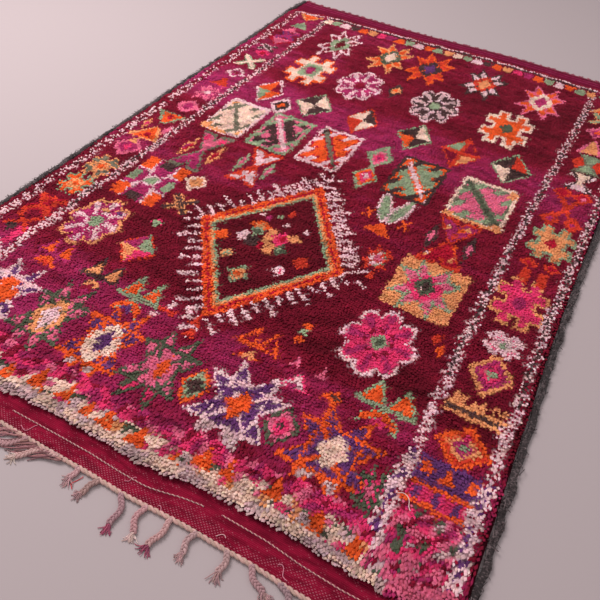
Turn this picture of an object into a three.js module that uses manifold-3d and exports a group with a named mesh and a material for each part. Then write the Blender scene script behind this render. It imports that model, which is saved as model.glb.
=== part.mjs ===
// A hand-knotted wool rug with flat-woven ends, dark goat-hair selvedges and a plaited warp fringe.
// Millimetres, +Z up. The origin is on the underside at the middle of the cloth, +X runs across the
// rug and +Y runs along it, from the end with the plaited fringe to the end with the short tufts.
import * as THREE from "three";
import { mergeVertices } from "three/addons/utils/BufferGeometryUtils.js";
import Module from "manifold-3d";

const wasm = await Module();
wasm.setup();

// Driving dimensions of the whole rug
const RUG_WIDTH = 1700; // over both selvedges
const RUG_LENGTH = 2600; // over both flat-woven ends, without fringe
const SELVEDGE_WIDTH = 20;
const SELVEDGE_HEIGHT = 10;
const SELVEDGE_SIDES = 6;
const SELVEDGE_STEPS = 60;
const PIECE_GAP = 0.5; // clearance between two pieces that lie side by side
const CLOTH_WIDTH = RUG_WIDTH - 2 * SELVEDGE_WIDTH;

// The cloth: a firm flat weave at the ends, and deep knotted pile between them
const FLAT_WEAVE = 4;
const TRIM_DEPTH = 6; // the slab is shaped this much too deep and then cut level at the floor
const PILE_HEIGHT = 17;
const PILE_SHOULDER = 16; // width over which the pile rises from the flat weave
const NEAR_PILE_EXTRA = 3; // the pile is longer towards the plaited end
const NEAR_PILE_REACH = 500;
const LUMP_HEIGHT = 2.2;
const LUMP_PITCH_X = 118;
const LUMP_PITCH_Y = 134;
const SWELL_HEIGHT = 1.2;
const SWELL_PITCH = 640;
const SIDE_REACH = 90; // how far in from a side its drawing-in is felt
const FIELD_COLUMNS = 32;
const FIELD_ROWS = 38;

// Where the four edges and the two pile edges run, each measured inwards from the nominal rectangle
const EDGES = [
  // x from the middle, the two cloth edges, and the flat-woven width that each end shows
  { x: -830, nearInset: 2, farInset: 2, nearBand: 72, farBand: 112 },
  { x: -740, nearInset: 4, farInset: 12, nearBand: 72, farBand: 92 },
  { x: -600, nearInset: 3, farInset: 10, nearBand: 70, farBand: 72 },
  { x: -340, nearInset: 4, farInset: 16, nearBand: 68, farBand: 64 },
  { x: -170, nearInset: 5, farInset: 16, nearBand: 69, farBand: 56 },
  { x: 0, nearInset: 5, farInset: 6, nearBand: 73, farBand: 56 },
  { x: 100, nearInset: 2, farInset: -2, nearBand: 71, farBand: 54 },
  { x: 260, nearInset: 10, farInset: -6, nearBand: 80, farBand: 56 },
  { x: 420, nearInset: 8, farInset: -2, nearBand: 86, farBand: 60 },
  { x: 520, nearInset: 3, farInset: 2, nearBand: 80, farBand: 66 },
  { x: 830, nearInset: 2, farInset: 6, nearBand: 78, farBand: 74 },
];
const SIDES = [
  // y from the middle, and how far each long side draws in
  { y: -1300, left: 2, right: -4 },
  { y: -1000, left: 3, right: 2 },
  { y: -700, left: 0, right: 8 },
  { y: -400, left: 2, right: 14 },
  { y: -100, left: 4, right: 14 },
  { y: 200, left: 2, right: 8 },
  { y: 600, left: 5, right: 3 },
  { y: 950, left: 2, right: 2 },
  { y: 1150, left: -2, right: 0 },
  { y: 1300, left: 4, right: 4 },
];

// Pile locks that stand out over the flat weave
const LOCK_WIDTH = 15;
const LOCK_LENGTH = 30;
const LOCK_PITCH = 30;
const LOCK_DROOP = 10; // degrees
const LOCK_ROOT = 9; // how high above the flat weave a lock leaves the pile

// The twined cord along the plaited end, and its tassels
const CORD_RADIUS = 5.2;
const CORD_FLATTEN = 0.66; // the two plies' width against their height
const CORD_LIFT = 0.8; // how high the cord's middle lies, in radii
const CORD_TURN = 56; // length of one full turn of the two plies
const CORD_STEP = 9.3;
const CORD_SIDES = 5;
const PLAIT_RADIUS = 7; // half the diagonal of its square section
const PLAIT_TAPER = 0.18;
const PLAIT_LOBE = 11; // length of one lobe of a plait
const PLAIT_SWELL = 0.16;
const BRUSH_STRANDS = 3;
const BRUSH_RADIUS = 3;
const BRUSH_TAPER = 0.45;
const BRUSH_LENGTH = 24;
const BRUSH_SPREAD = 17; // degrees between neighbouring loose ends
const TASSELS = [
  // x of the root, length of the plait, heading in degrees from straight out, and its bend
  { x: -786, plait: 62, heading: -14, bend: 22 },
  { x: -702, plait: 70, heading: -26, bend: -14 },
  { x: -618, plait: 58, heading: 10, bend: 18 },
  { x: -536, plait: 66, heading: -20, bend: 12 },
  { x: -452, plait: 74, heading: -34, bend: -16 },
  { x: -352, plait: 86, heading: -52, bend: -10 },
  { x: -258, plait: 92, heading: -56, bend: 8 },
  { x: -160, plait: 96, heading: -60, bend: 6 },
  { x: -72, plait: 98, heading: -62, bend: 10 },
  { x: -14, plait: 30, heading: -8, bend: 12 },
  { x: 44, plait: 46, heading: -6, bend: -46 },
  { x: 104, plait: 76, heading: 22, bend: -18 },
  { x: 168, plait: 66, heading: 6, bend: 16 },
  { x: 230, plait: 74, heading: -22, bend: 58 },
  { x: 292, plait: 52, heading: -2, bend: 2 },
  { x: 368, plait: 50, heading: 4, bend: 14 },
  { x: 424, plait: 62, heading: 58, bend: -18 },
  { x: 492, plait: 60, heading: 48, bend: -12 },
  { x: 572, plait: 68, heading: 30, bend: -10 },
  { x: 654, plait: 60, heading: 12, bend: 18 },
  { x: 738, plait: 66, heading: -10, bend: 14 },
  { x: 800, plait: 56, heading: 8, bend: -16 },
];
const TASSEL_STEPS = 6;

// The finish at the far end: short tied tufts on a narrow wine cord
const TUFT_CORD_RADIUS = 4;
const TUFT_PITCH = 37;
const TUFT_LENGTH = 15;
const TUFT_RADIUS = 6.5;

// A value at a place, eased between the rows of a table.
function eased(rows, key, column, place) {
  const last = rows.length - 1;
  if (place <= rows[0][key]) return rows[0][column];
  if (place >= rows[last][key]) return rows[last][column];
  const after = rows.findIndex((row) => row[key] > place);
  const from = rows[after - 1];
  const to = rows[after];
  const share = THREE.MathUtils.smoothstep(place, from[key], to[key]);
  return THREE.MathUtils.lerp(from[column], to[column], share);
}

// The same along the width, straight between the columns of the field, so that pieces meet without a gap.
function alongWidth(column, x) {
  const pitch = CLOTH_WIDTH / FIELD_COLUMNS;
  const places = (x + CLOTH_WIDTH / 2) / pitch;
  const index = THREE.MathUtils.clamp(Math.floor(places), 0, FIELD_COLUMNS - 1);
  const from = index * pitch - CLOTH_WIDTH / 2;
  const ends = [from, from + pitch].map((place) => eased(EDGES, "x", column, place));
  return THREE.MathUtils.lerp(ends[0], ends[1], places - index);
}

const nearEdge = (x) => -RUG_LENGTH / 2 + alongWidth("nearInset", x);
const farEdge = (x) => RUG_LENGTH / 2 - alongWidth("farInset", x);
const nearPile = (x) => nearEdge(x) + alongWidth("nearBand", x);
const farPile = (x) => farEdge(x) - alongWidth("farBand", x);
const leftSide = (y) => -CLOTH_WIDTH / 2 + eased(SIDES, "y", "left", y);
const rightSide = (y) => CLOTH_WIDTH / 2 - eased(SIDES, "y", "right", y);

// How high the pile stands above the flat weave at a place in the field.
function pileHeight(x, y) {
  const closeness = 1 - THREE.MathUtils.smoothstep(y - nearPile(x), 0, NEAR_PILE_REACH);
  const acrossTurn = (2 * Math.PI * x) / LUMP_PITCH_X;
  const alongTurn = (2 * Math.PI * y) / LUMP_PITCH_Y;
  const lumps = Math.sin(acrossTurn + 1.7 * Math.sin(alongTurn / 2)) * Math.cos(alongTurn);
  const swell = Math.sin((2 * Math.PI * (x + 0.6 * y)) / SWELL_PITCH);
  return PILE_HEIGHT - FLAT_WEAVE + NEAR_PILE_EXTRA * closeness + LUMP_HEIGHT * lumps + SWELL_HEIGHT * swell;
}

// A closed three.js geometry as a manifold-3d solid.
function solidOf(geometry) {
  const bare = geometry.clone();
  bare.deleteAttribute("normal");
  bare.deleteAttribute("uv");
  const merged = mergeVertices(bare, 1e-3);
  const mesh = new wasm.Mesh({
    numProp: 3,
    vertProperties: new Float32Array(merged.attributes.position.array),
    triVerts: new Uint32Array(merged.index.array),
  });
  return new wasm.Manifold(mesh);
}

// A manifold-3d solid back as a geometry for a mesh.
function geometryOf(solid) {
  const mesh = solid.getMesh();
  const geometry = new THREE.BufferGeometry();
  geometry.setAttribute("position", new THREE.BufferAttribute(mesh.vertProperties, 3));
  geometry.setIndex(new THREE.BufferAttribute(mesh.triVerts, 1));
  geometry.computeVertexNormals();
  return geometry;
}

// Moves each vertex of a geometry to where a function of its place puts it.
function reshape(geometry, place) {
  const position = geometry.attributes.position;
  const vertex = new THREE.Vector3();
  for (let i = 0; i < position.count; i += 1) {
    vertex.fromBufferAttribute(position, i);
    place(vertex);
    position.setXYZ(i, vertex.x, vertex.y, vertex.z);
  }
  return geometry;
}

// A bar along a path: its section is worked out from the angle round it and the distance along it.
function bar(sides, steps, place) {
  const cylinder = new THREE.CylinderGeometry(1, 1, 1, sides, steps);
  return reshape(cylinder, (v) => {
    const angle = Math.atan2(v.z, v.x);
    const onAxis = Math.hypot(v.x, v.z) < 0.5;
    place(v, v.y + 0.5, angle, onAxis ? 0 : 1);
  });
}

// The rows across the rug: two in each flat weave, close ones on each pile shoulder, and the field between.
function rowPlaces() {
  const rows = [{ zone: "near", share: 0 }, { zone: "near", share: 0.5 }, { zone: "near", share: 1 }];
  for (let i = 0; i <= FIELD_ROWS; i += 1) rows.push({ zone: "field", share: i / FIELD_ROWS });
  return [...rows, { zone: "far", share: 0 }, { zone: "far", share: 0.5 }, { zone: "far", share: 1 }];
}

function rowY(row, x) {
  if (row.zone === "near") return THREE.MathUtils.lerp(nearEdge(x), nearPile(x), row.share);
  if (row.zone === "far") return THREE.MathUtils.lerp(farPile(x), farEdge(x), row.share);
  return THREE.MathUtils.lerp(nearPile(x) + PILE_SHOULDER, farPile(x) - PILE_SHOULDER, row.share);
}

function rowTop(row, x, y) {
  if (row.zone !== "field") return FLAT_WEAVE;
  const fromSide = Math.min(x - leftSide(y), rightSide(y) - x);
  const fullness = 0.62 + 0.38 * THREE.MathUtils.smoothstep(fromSide, 0, PILE_SHOULDER);
  return FLAT_WEAVE + fullness * pileHeight(x, y);
}

// The lumpy top and the edges of the cloth, shaped from one box.
function clothSlab() {
  const rows = rowPlaces();
  const box = new THREE.BoxGeometry(1, 1, 1, FIELD_COLUMNS, rows.length - 1, 1);
  return reshape(box, (v) => {
    const row = rows[Math.round((v.y + 0.5) * (rows.length - 1))];
    const column = v.x * CLOTH_WIDTH;
    const y = rowY(row, column);
    const nearLeft = THREE.MathUtils.smoothstep(-column, CLOTH_WIDTH / 2 - SIDE_REACH, CLOTH_WIDTH / 2);
    const nearRight = THREE.MathUtils.smoothstep(column, CLOTH_WIDTH / 2 - SIDE_REACH, CLOTH_WIDTH / 2);
    const leftShift = nearLeft * (leftSide(y) + CLOTH_WIDTH / 2);
    const rightShift = nearRight * (rightSide(y) - CLOTH_WIDTH / 2);
    const x = column + leftShift + rightShift;
    v.set(x, y, v.z > 0 ? rowTop(row, x, y) : -TRIM_DEPTH);
  });
}

// Everything under the floor, to cut the slab level.
function underFloor() {
  const block = new THREE.BoxGeometry(2 * RUG_WIDTH, 2 * RUG_LENGTH, 2 * TRIM_DEPTH);
  return block.translate(0, 0, -TRIM_DEPTH);
}

// One three-sided lock of pile, lying outwards over the flat weave.
function pileLock(x, y, outward, turn) {
  const lock = new THREE.CylinderGeometry(LOCK_WIDTH * 0.2, LOCK_WIDTH * 0.62, LOCK_LENGTH, 3, 1);
  lock.scale(1, 1, 0.6);
  lock.translate(0, LOCK_LENGTH * 0.22, 0);
  lock.rotateX(THREE.MathUtils.degToRad(-LOCK_DROOP));
  lock.rotateZ((outward > 0 ? 0 : Math.PI) + THREE.MathUtils.degToRad(turn));
  lock.translate(x, y, FLAT_WEAVE + LOCK_ROOT);
  return lock;
}

// An even number from -1 to 1 for each count, the same every time.
const scatter = (count) => 2 * ((count * 0.618034) % 1) - 1;

function cloth() {
  const locks = [];
  const inner = CLOTH_WIDTH / 2 - LOCK_WIDTH;
  const count = Math.floor((2 * inner) / LOCK_PITCH);
  for (let i = 0; i <= count; i += 1) {
    const x = -inner + (2 * inner * i) / count;
    locks.push(pileLock(x, nearPile(x) + PILE_SHOULDER * 0.45, -1, 16 * scatter(i)));
    locks.push(pileLock(x, farPile(x) - PILE_SHOULDER * 0.45, 1, 16 * scatter(i + 5)));
  }
  const slab = solidOf(clothSlab()).subtract(solidOf(underFloor()));
  return wasm.Manifold.union([slab, ...locks.map(solidOf)]);
}

// A dark wrapped selvedge, lying against one long side of the cloth.
function selvedge(side) {
  const inner = side < 0 ? leftSide : rightSide;
  const half = SELVEDGE_WIDTH / 2 - PIECE_GAP;
  return bar(SELVEDGE_SIDES, SELVEDGE_STEPS, (v, along, angle, rim) => {
    const corner = (side * CLOTH_WIDTH) / 2;
    const y = THREE.MathUtils.lerp(nearEdge(corner), farEdge(corner), along);
    const wrap = 1 + 0.05 * Math.sin(y / 13) + 0.05 * Math.sin(y / 31);
    const x = inner(y) + side * (PIECE_GAP + half);
    const squareness = Math.sign(Math.cos(angle)) * Math.abs(Math.cos(angle)) ** 0.7;
    const height = (SELVEDGE_HEIGHT / 2) * (1 + Math.sin(angle) * rim * wrap);
    v.set(x + rim * half * squareness, y, Math.sin(angle) < -0.8 ? 0 : height);
  });
}

// A two-ply twisted cord along the plaited end, flat where it lies on the floor. The two plies show as
// an oval section whose long axis turns as it goes.
function twinedCord() {
  const steps = Math.round(CLOTH_WIDTH / CORD_STEP);
  return bar(CORD_SIDES, steps, (v, along, angle, rim) => {
    const x = (along - 0.5) * CLOTH_WIDTH;
    const turned = angle - (2 * Math.PI * x) / CORD_TURN;
    const oval = rim * CORD_RADIUS * Math.hypot(Math.cos(turned), CORD_FLATTEN * Math.sin(turned));
    const y = nearEdge(x) - CORD_RADIUS - PIECE_GAP - oval * Math.cos(angle);
    v.set(x, y, Math.max(0, CORD_RADIUS * CORD_LIFT + oval * Math.sin(angle)));
  });
}

// A plain narrow cord along the tufted end.
function tuftCord() {
  return bar(4, FIELD_COLUMNS, (v, along, angle, rim) => {
    const x = (along - 0.5) * CLOTH_WIDTH;
    const corner = angle + Math.PI / 4;
    const half = rim * TUFT_CORD_RADIUS * Math.SQRT2;
    const y = farEdge(x) + PIECE_GAP + TUFT_CORD_RADIUS - half * Math.cos(corner);
    v.set(x, y, TUFT_CORD_RADIUS + half * Math.sin(corner));
  });
}

// A strand on the floor: three- or four-sided and level, starting at a root and bending evenly as it goes.
function strand(sides, steps, root, headingDeg, bendDeg, length, radiusAt) {
  const turn = sides === 4 ? Math.PI / 4 : 0;
  const lift = sides === 4 ? Math.SQRT1_2 : 0.5;
  return bar(sides, steps, (v, along, angle, rim) => {
    const heading = THREE.MathUtils.degToRad(headingDeg + (bendDeg * along) / 2);
    const radius = radiusAt(along);
    const across = -rim * radius * Math.cos(angle + turn);
    const x = root.x + Math.sin(heading) * length * along + across * Math.cos(heading);
    const y = root.y - Math.cos(heading) * length * along + across * Math.sin(heading);
    v.set(x, y, Math.max(0, radius * (lift + rim * Math.sin(angle + turn))));
  });
}

// A plaited tassel with a brush of loose ends.
function tassel(row) {
  const root = { x: row.x, y: nearEdge(row.x) - CORD_RADIUS };
  const lobe = (along) => 1 + PLAIT_SWELL * Math.sin((2 * Math.PI * along * row.plait) / PLAIT_LOBE);
  const thick = (along) => PLAIT_RADIUS * lobe(along) * (1 - PLAIT_TAPER * along);
  const thin = (along) => BRUSH_RADIUS * (1 - BRUSH_TAPER * along);
  const exit = THREE.MathUtils.degToRad(row.heading + row.bend / 2);
  const reach = row.plait - PLAIT_RADIUS;
  const tip = { x: root.x + Math.sin(exit) * reach, y: root.y - Math.cos(exit) * reach };
  const parts = [strand(4, TASSEL_STEPS, root, row.heading, row.bend, row.plait, thick)];
  for (let i = 0; i < BRUSH_STRANDS; i += 1) {
    const spread = (i - (BRUSH_STRANDS - 1) / 2) * BRUSH_SPREAD;
    parts.push(strand(3, 1, tip, row.heading + row.bend + spread, 0, BRUSH_LENGTH, thin));
  }
  return parts;
}

function nearFringe() {
  return wasm.Manifold.union([twinedCord(), ...TASSELS.flatMap(tassel)].map(solidOf));
}

// The far end's finish: a narrow cord with short tied tufts that point outwards.
function farFringe() {
  const half = CLOTH_WIDTH / 2 - TUFT_RADIUS;
  const count = Math.floor((2 * half) / TUFT_PITCH);
  const tufts = [];
  for (let i = 0; i <= count; i += 1) {
    const x = -half + (2 * half * i) / count + 4 * scatter(i);
    const root = { x, y: farEdge(x) + TUFT_CORD_RADIUS };
    const round = (along) => TUFT_RADIUS * (0.75 + 0.25 * Math.sin(Math.PI * along));
    const length = TUFT_LENGTH + 3 * scatter(i + 8);
    tufts.push(strand(4, 2, root, 180 + 18 * scatter(i + 3), 0, length, round));
  }
  return wasm.Manifold.union([tuftCord(), ...tufts].map(solidOf));
}

const wool = new THREE.MeshStandardMaterial({ color: 0x6e0f2c, roughness: 0.95, metalness: 0 });
const goatHair = new THREE.MeshStandardMaterial({ color: 0x3a3231, roughness: 0.95, metalness: 0 });
const warpYarn = new THREE.MeshStandardMaterial({ color: 0xb99a98, roughness: 0.95, metalness: 0 });
const wineYarn = new THREE.MeshStandardMaterial({ color: 0x64122f, roughness: 0.95, metalness: 0 });

function piece(name, geometry, material) {
  const mesh = new THREE.Mesh(geometry, material);
  mesh.name = name;
  return mesh;
}

const rug = new THREE.Group();
rug.add(piece("cloth", geometryOf(cloth()), wool));
rug.add(piece("selvedge_left", selvedge(-1), goatHair));
rug.add(piece("selvedge_right", selvedge(1), goatHair));
rug.add(piece("near_fringe", geometryOf(nearFringe()), warpYarn));
rug.add(piece("far_fringe", geometryOf(farFringe()), wineYarn));

export default rug;
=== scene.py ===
# %% [markdown]
# # A hand-knotted wool rug
# This lesson dresses a flat rug that was built as plain solids. The rug is one woven cloth with deep
# knotted pile between two flat-woven ends. Dark goat hair wraps its long sides, a twisted cord with plaited
# tassels finishes the near end, and short tied tufts finish the far end. We load the solids first; the pieces
# below follow the sizes that the solids share, and some of them hide the solids that they stand for.

# %% Load the frame
import math
from functools import partial

import bpy
import numpy as np
from mathutils import Matrix, Vector


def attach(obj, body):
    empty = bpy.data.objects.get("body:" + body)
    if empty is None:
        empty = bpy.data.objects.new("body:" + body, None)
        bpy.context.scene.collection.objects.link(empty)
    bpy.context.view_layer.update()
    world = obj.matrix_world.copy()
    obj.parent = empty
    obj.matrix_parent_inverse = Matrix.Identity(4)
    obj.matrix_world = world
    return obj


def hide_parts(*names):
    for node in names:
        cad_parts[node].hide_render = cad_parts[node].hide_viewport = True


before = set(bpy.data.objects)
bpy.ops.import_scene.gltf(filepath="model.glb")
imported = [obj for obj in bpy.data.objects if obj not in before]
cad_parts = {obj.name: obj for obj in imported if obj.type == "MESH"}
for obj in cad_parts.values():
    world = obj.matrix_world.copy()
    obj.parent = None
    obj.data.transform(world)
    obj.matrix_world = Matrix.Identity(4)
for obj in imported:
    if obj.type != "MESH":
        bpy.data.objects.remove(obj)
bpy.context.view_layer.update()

print("solids:", sorted(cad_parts))

# %% [markdown]
# ## The camera
# A hand-held camera at chest height looked down at the rug by half a right angle, a little askew. Three
# turns describe that: round the vertical, down from the horizon, and a roll about the line of sight.

# %% Camera
CAMERA_PLACE = (0.7053, -1.7960, 1.3350)
CAMERA_AZIMUTH = math.radians(24.6)
CAMERA_ELEVATION = math.radians(45.0)
CAMERA_ROLL = math.radians(5.29)
CAMERA_LENS = 40.29  # millimetres, on a sensor 36 millimetres wide

heading = Matrix.Rotation(CAMERA_AZIMUTH, 4, "Z")
tilt = Matrix.Rotation(math.pi / 2 - CAMERA_ELEVATION, 4, "X")
roll = Matrix.Rotation(CAMERA_ROLL, 4, "Z")
camera_data = bpy.data.cameras.new("camera")
camera_data.lens = CAMERA_LENS
camera = bpy.data.objects.new("camera", camera_data)
camera.matrix_world = Matrix.Translation(CAMERA_PLACE) @ heading @ tilt @ roll
bpy.context.scene.collection.objects.link(camera)
bpy.context.scene.camera = camera
print("camera looks along", [round(-camera.matrix_world[i][2], 3) for i in range(3)])

# %% [markdown]
# ## Sizes that the solids share
# A weaver beats every row down to an edge that is never quite straight. These two tables hold how far the
# ends and the sides stray from a true rectangle, and how wide the flat weave shows. They are in millimetres,
# because such strays are small, and `MM` turns them into metres.

# %% Edge tables
MM = 0.001
RUG_LENGTH = 2600 * MM
CLOTH_WIDTH = 1660 * MM
FLAT_WEAVE = 4 * MM
PILE_HEIGHT = 17 * MM
EDGE_COLUMNS = ("x", "near inset", "far inset", "near band", "far band")
EDGES = np.array([
    (-830, 2, 2, 72, 112),
    (-740, 4, 12, 72, 92),
    (-600, 3, 10, 70, 72),
    (-340, 4, 16, 68, 64),
    (-170, 5, 16, 69, 56),
    (0, 5, 6, 73, 56),
    (100, 2, -2, 71, 54),
    (260, 10, -6, 80, 56),
    (420, 8, -2, 86, 60),
    (520, 3, 2, 80, 66),
    (830, 2, 6, 78, 74),
]) * MM
SIDE_COLUMNS = ("y", "left inset", "right inset")
SIDES = np.array([
    (-1300, 2, -4),
    (-1000, 3, 2),
    (-700, 0, 8),
    (-400, 2, 14),
    (-100, 4, 14),
    (200, 2, 8),
    (600, 5, 3),
    (950, 2, 2),
    (1150, -2, 0),
    (1300, 4, 4),
]) * MM
print(len(EDGES), "rows of edges,", len(SIDES), "rows of sides")

# %% Where the cloth's edges run
EDGE_STATIONS = 33  # places across the width at which the solids' ends bend


def smooth_step(value, low, high):
    """0 below low, 1 above high, and 3s^2 - 2s^3 between."""
    share = np.clip((value - low) / (high - low), 0, 1)
    return share * share * (3 - 2 * share)


def eased(table, column, place):
    """A table's column at each place: the value goes from row to row as a smooth step, so it never kinks."""
    rows = table[:, 0]
    after = np.clip(np.searchsorted(rows, place), 1, len(rows) - 1)
    share = smooth_step(place, rows[after - 1], rows[after])
    return table[after - 1, column] * (1 - share) + table[after, column] * share


def along_width(column, x):
    """The edge table across the width, straight between the stations that the solids also use."""
    stations = np.linspace(-CLOTH_WIDTH / 2, CLOTH_WIDTH / 2, EDGE_STATIONS)
    return np.interp(x, stations, eased(EDGES, EDGE_COLUMNS.index(column), stations))


def near_edge(x):
    """The cloth's edge at the plaited end: half the length less the inset."""
    return -RUG_LENGTH / 2 + along_width("near inset", x)


def far_edge(x):
    """The cloth's edge at the tufted end: half the length less the inset."""
    return RUG_LENGTH / 2 - along_width("far inset", x)


def left_side(y):
    """The cloth's left side: half the width less its drawing-in."""
    return -CLOTH_WIDTH / 2 + eased(SIDES, SIDE_COLUMNS.index("left inset"), y)


def right_side(y):
    """The cloth's right side: half the width less its drawing-in."""
    return CLOTH_WIDTH / 2 - eased(SIDES, SIDE_COLUMNS.index("right inset"), y)


print("near edge at the middle", round(float(near_edge(np.array(0.0))), 4))

# %% [markdown]
# ## Meshes from arrays
# Eighty thousand knots are too many to make one by one. Instead numpy works out all their points at once,
# and `foreach_set` hands each list to Blender in a single step. One helper does this for every piece.

# %% Mesh helper
def make_mesh(name, points, *faces):
    """An object at the origin with these points and sets of faces; each set is a rows-by-corners array."""
    mesh = bpy.data.meshes.new(name)
    corners = np.concatenate([f.ravel() for f in faces]).astype(np.int32)
    sizes = np.concatenate([np.full(len(f), f.shape[1]) for f in faces])
    starts = np.concatenate([[0], np.cumsum(sizes)[:-1]]).astype(np.int32)
    mesh.vertices.add(len(points))
    mesh.vertices.foreach_set("co", points.astype(np.float32).ravel())
    mesh.loops.add(len(corners))
    mesh.loops.foreach_set("vertex_index", corners)
    mesh.polygons.add(len(sizes))
    mesh.polygons.foreach_set("loop_start", starts)
    mesh.polygons.foreach_set("use_smooth", np.ones(len(sizes), bool))
    mesh.update(calc_edges=True)
    piece = bpy.data.objects.new(name, mesh)
    bpy.context.scene.collection.objects.link(piece)
    return piece


def repeated(faces, count, points_each):
    """The faces of one body, for each of count bodies whose points follow one another."""
    first = np.arange(count)[:, None, None] * points_each
    return [(first + f).reshape(-1, f.shape[1]) for f in faces]


def triangles(piece):
    """How many triangles a piece's faces make."""
    return len(piece.data.loops) - 2 * len(piece.data.polygons)


def store(piece, name, values):
    """Keeps one number or one colour for each point, for the materials to read."""
    kind = "FLOAT" if values.ndim == 1 else "FLOAT_COLOR"
    layer = piece.data.attributes.new(name, kind, "POINT")
    if values.ndim == 1:
        layer.data.foreach_set("value", values.astype(np.float32))
        return
    rgba = np.concatenate([values, np.ones((len(values), 1))], axis=1)
    layer.data.foreach_set("color", rgba.astype(np.float32).ravel())


def sew_on(piece, slot_name, material, *nodes):
    """Finishes a piece: its material, the body that it rides on, and the solids it stands for; slot_name is
    not used.
    """
    piece.data.materials.append(material)
    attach(piece, "root")
    if nodes:
        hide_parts(*nodes)
    print(piece.name, triangles(piece), "triangles")

# %% [markdown]
# ## Dyed yarns
# The wool was dyed in small batches, so we name a palette of yarns as one would see them in daylight, and
# turn each into the linear numbers that a shader works with. A knot then only has to hold a yarn's number.

# %% Yarn palette
YARNS = {
    "dark wine": (104, 18, 34),
    "wine": (140, 24, 50),
    "magenta": (178, 47, 100),
    "crimson": (182, 24, 50),
    "hot pink": (234, 58, 110),
    "pink": (232, 106, 138),
    "pale pink": (244, 195, 201),
    "cream": (252, 206, 188),
    "lilac": (216, 174, 176),
    "peach": (240, 154, 104),
    "orange": (244, 92, 42),
    "red orange": (216, 62, 44),
    "sage": (150, 162, 130),
    "moss": (124, 116, 98),
    "dark green": (88, 92, 74),
    "charcoal": (80, 54, 54),
    "purple": (107, 56, 110),
}
YARN_NUMBER = {name: number for number, name in enumerate(YARNS)}


def linear(rgb):
    """Daylight values from 0 to 255 as linear light: ((c + 0.055) / 1.055) ^ 2.4 above the dark toe."""
    c = np.asarray(rgb, float) / 255
    return np.where(c <= 0.04045, c / 12.92, ((c + 0.055) / 1.055) ** 2.4)


yarn_colours = np.array([linear(rgb) for rgb in YARNS.values()])
print(len(YARNS), "yarns")

# %% [markdown]
# ## Where the knots stand
# A knot is one tuft of wool tied round two warps. The rows follow the two pile edges and the columns follow
# the two sides, so the grid bends as the cloth does. Every second row is set over by half a knot, as the
# tufts nest. A fixed seed makes the rug come out the same each time.

# %% Knot grid
KNOT_PITCH = 6.8 * MM
ROW_PITCH = 7.2 * MM
STRAY = 1.4 * MM  # how far a knot may stand off its place in the grid
RIM = 7 * MM  # how far the outermost tufts stand in from the pile's edge
chance = np.random.default_rng(1906)


def near_pile(x):
    """Where the pile starts: beyond the near band of flat weave."""
    return near_edge(x) + along_width("near band", x)


def far_pile(x):
    """Where the pile stops: short of the far band of flat weave."""
    return far_edge(x) - along_width("far band", x)


column_count = int(CLOTH_WIDTH / KNOT_PITCH)
row_count = int((far_pile(0.0) - near_pile(0.0)) / ROW_PITCH)
row, column = np.meshgrid(np.arange(row_count), np.arange(column_count), indexing="ij")
row, column = row.ravel(), column.ravel()
knots = len(row)

across = (column + 0.25 + 0.5 * (row % 2)) / column_count
along = (row + 0.5) / row_count
nominal_x = (across - 0.5) * (CLOTH_WIDTH - 2 * RIM)
root_y = near_pile(nominal_x) + RIM + along * (far_pile(nominal_x) - near_pile(nominal_x) - 2 * RIM)
root_x = left_side(root_y) + RIM / 2 + across * (right_side(root_y) - left_side(root_y) - RIM)
root_x = root_x + chance.uniform(-STRAY, STRAY, knots)
root_y = root_y + chance.uniform(-STRAY, STRAY, knots)
print(knots, "knots in", row_count, "rows")

# %% [markdown]
# ## How the pile lies
# Long wool never stands straight. It leans towards the near end, more in some combed patches than in
# others, and it is lumpy. A few crossed sine waves make a cheap, smooth and repeatable unevenness.

# %% Height and lean
LUMP_HEIGHT = 2.2 * MM
LUMP_PITCH_X = 118 * MM
LUMP_PITCH_Y = 134 * MM
NEAR_PILE_EXTRA = 3 * MM
NEAR_PILE_REACH = 500 * MM
SIDE_SHARE, END_SHARE = 0.72, 0.62  # the pile's height at its sides and ends, against its full height
RIM_LEAN = 0.72  # the lean at the near rim, against the full lean
LEAN = 15 * MM
SIDEWAYS = 5 * MM
STRAGGLE = 3.2 * MM  # how far single tufts fall to either side
CLUMP = 4.5 * MM  # how far neighbouring tufts draw together
LOCK_HEIGHT = 2.0 * MM
SEEN_SHARE = 0.62  # how far out along the lean the part of a tuft lies that one sees


def drift(x, y, pitch, seed):
    """Smooth unevenness, mostly from -1 to 1: five sine waves of about this pitch, at mixed angles, added
    up and divided by three."""
    mixer = np.random.default_rng(seed)
    total = np.zeros_like(x)
    for angle, phase, stretch in mixer.uniform((0, 0, 0.7), (math.pi, math.tau, 1.5), (5, 3)):
        total += np.sin(math.tau * (x * math.cos(angle) + y * math.sin(angle)) / (pitch * stretch) + phase)
    return total / 3


def patches(pitch, seed):
    """The drift over all the knots: soft patches of about this pitch, with a pattern for each seed."""
    return drift(root_x, root_y, pitch, seed)


def rising(least, value, low, high):
    """This least share below low, 1 above high, and a smooth step between."""
    return least + (1 - least) * smooth_step(value, low, high)


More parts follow.
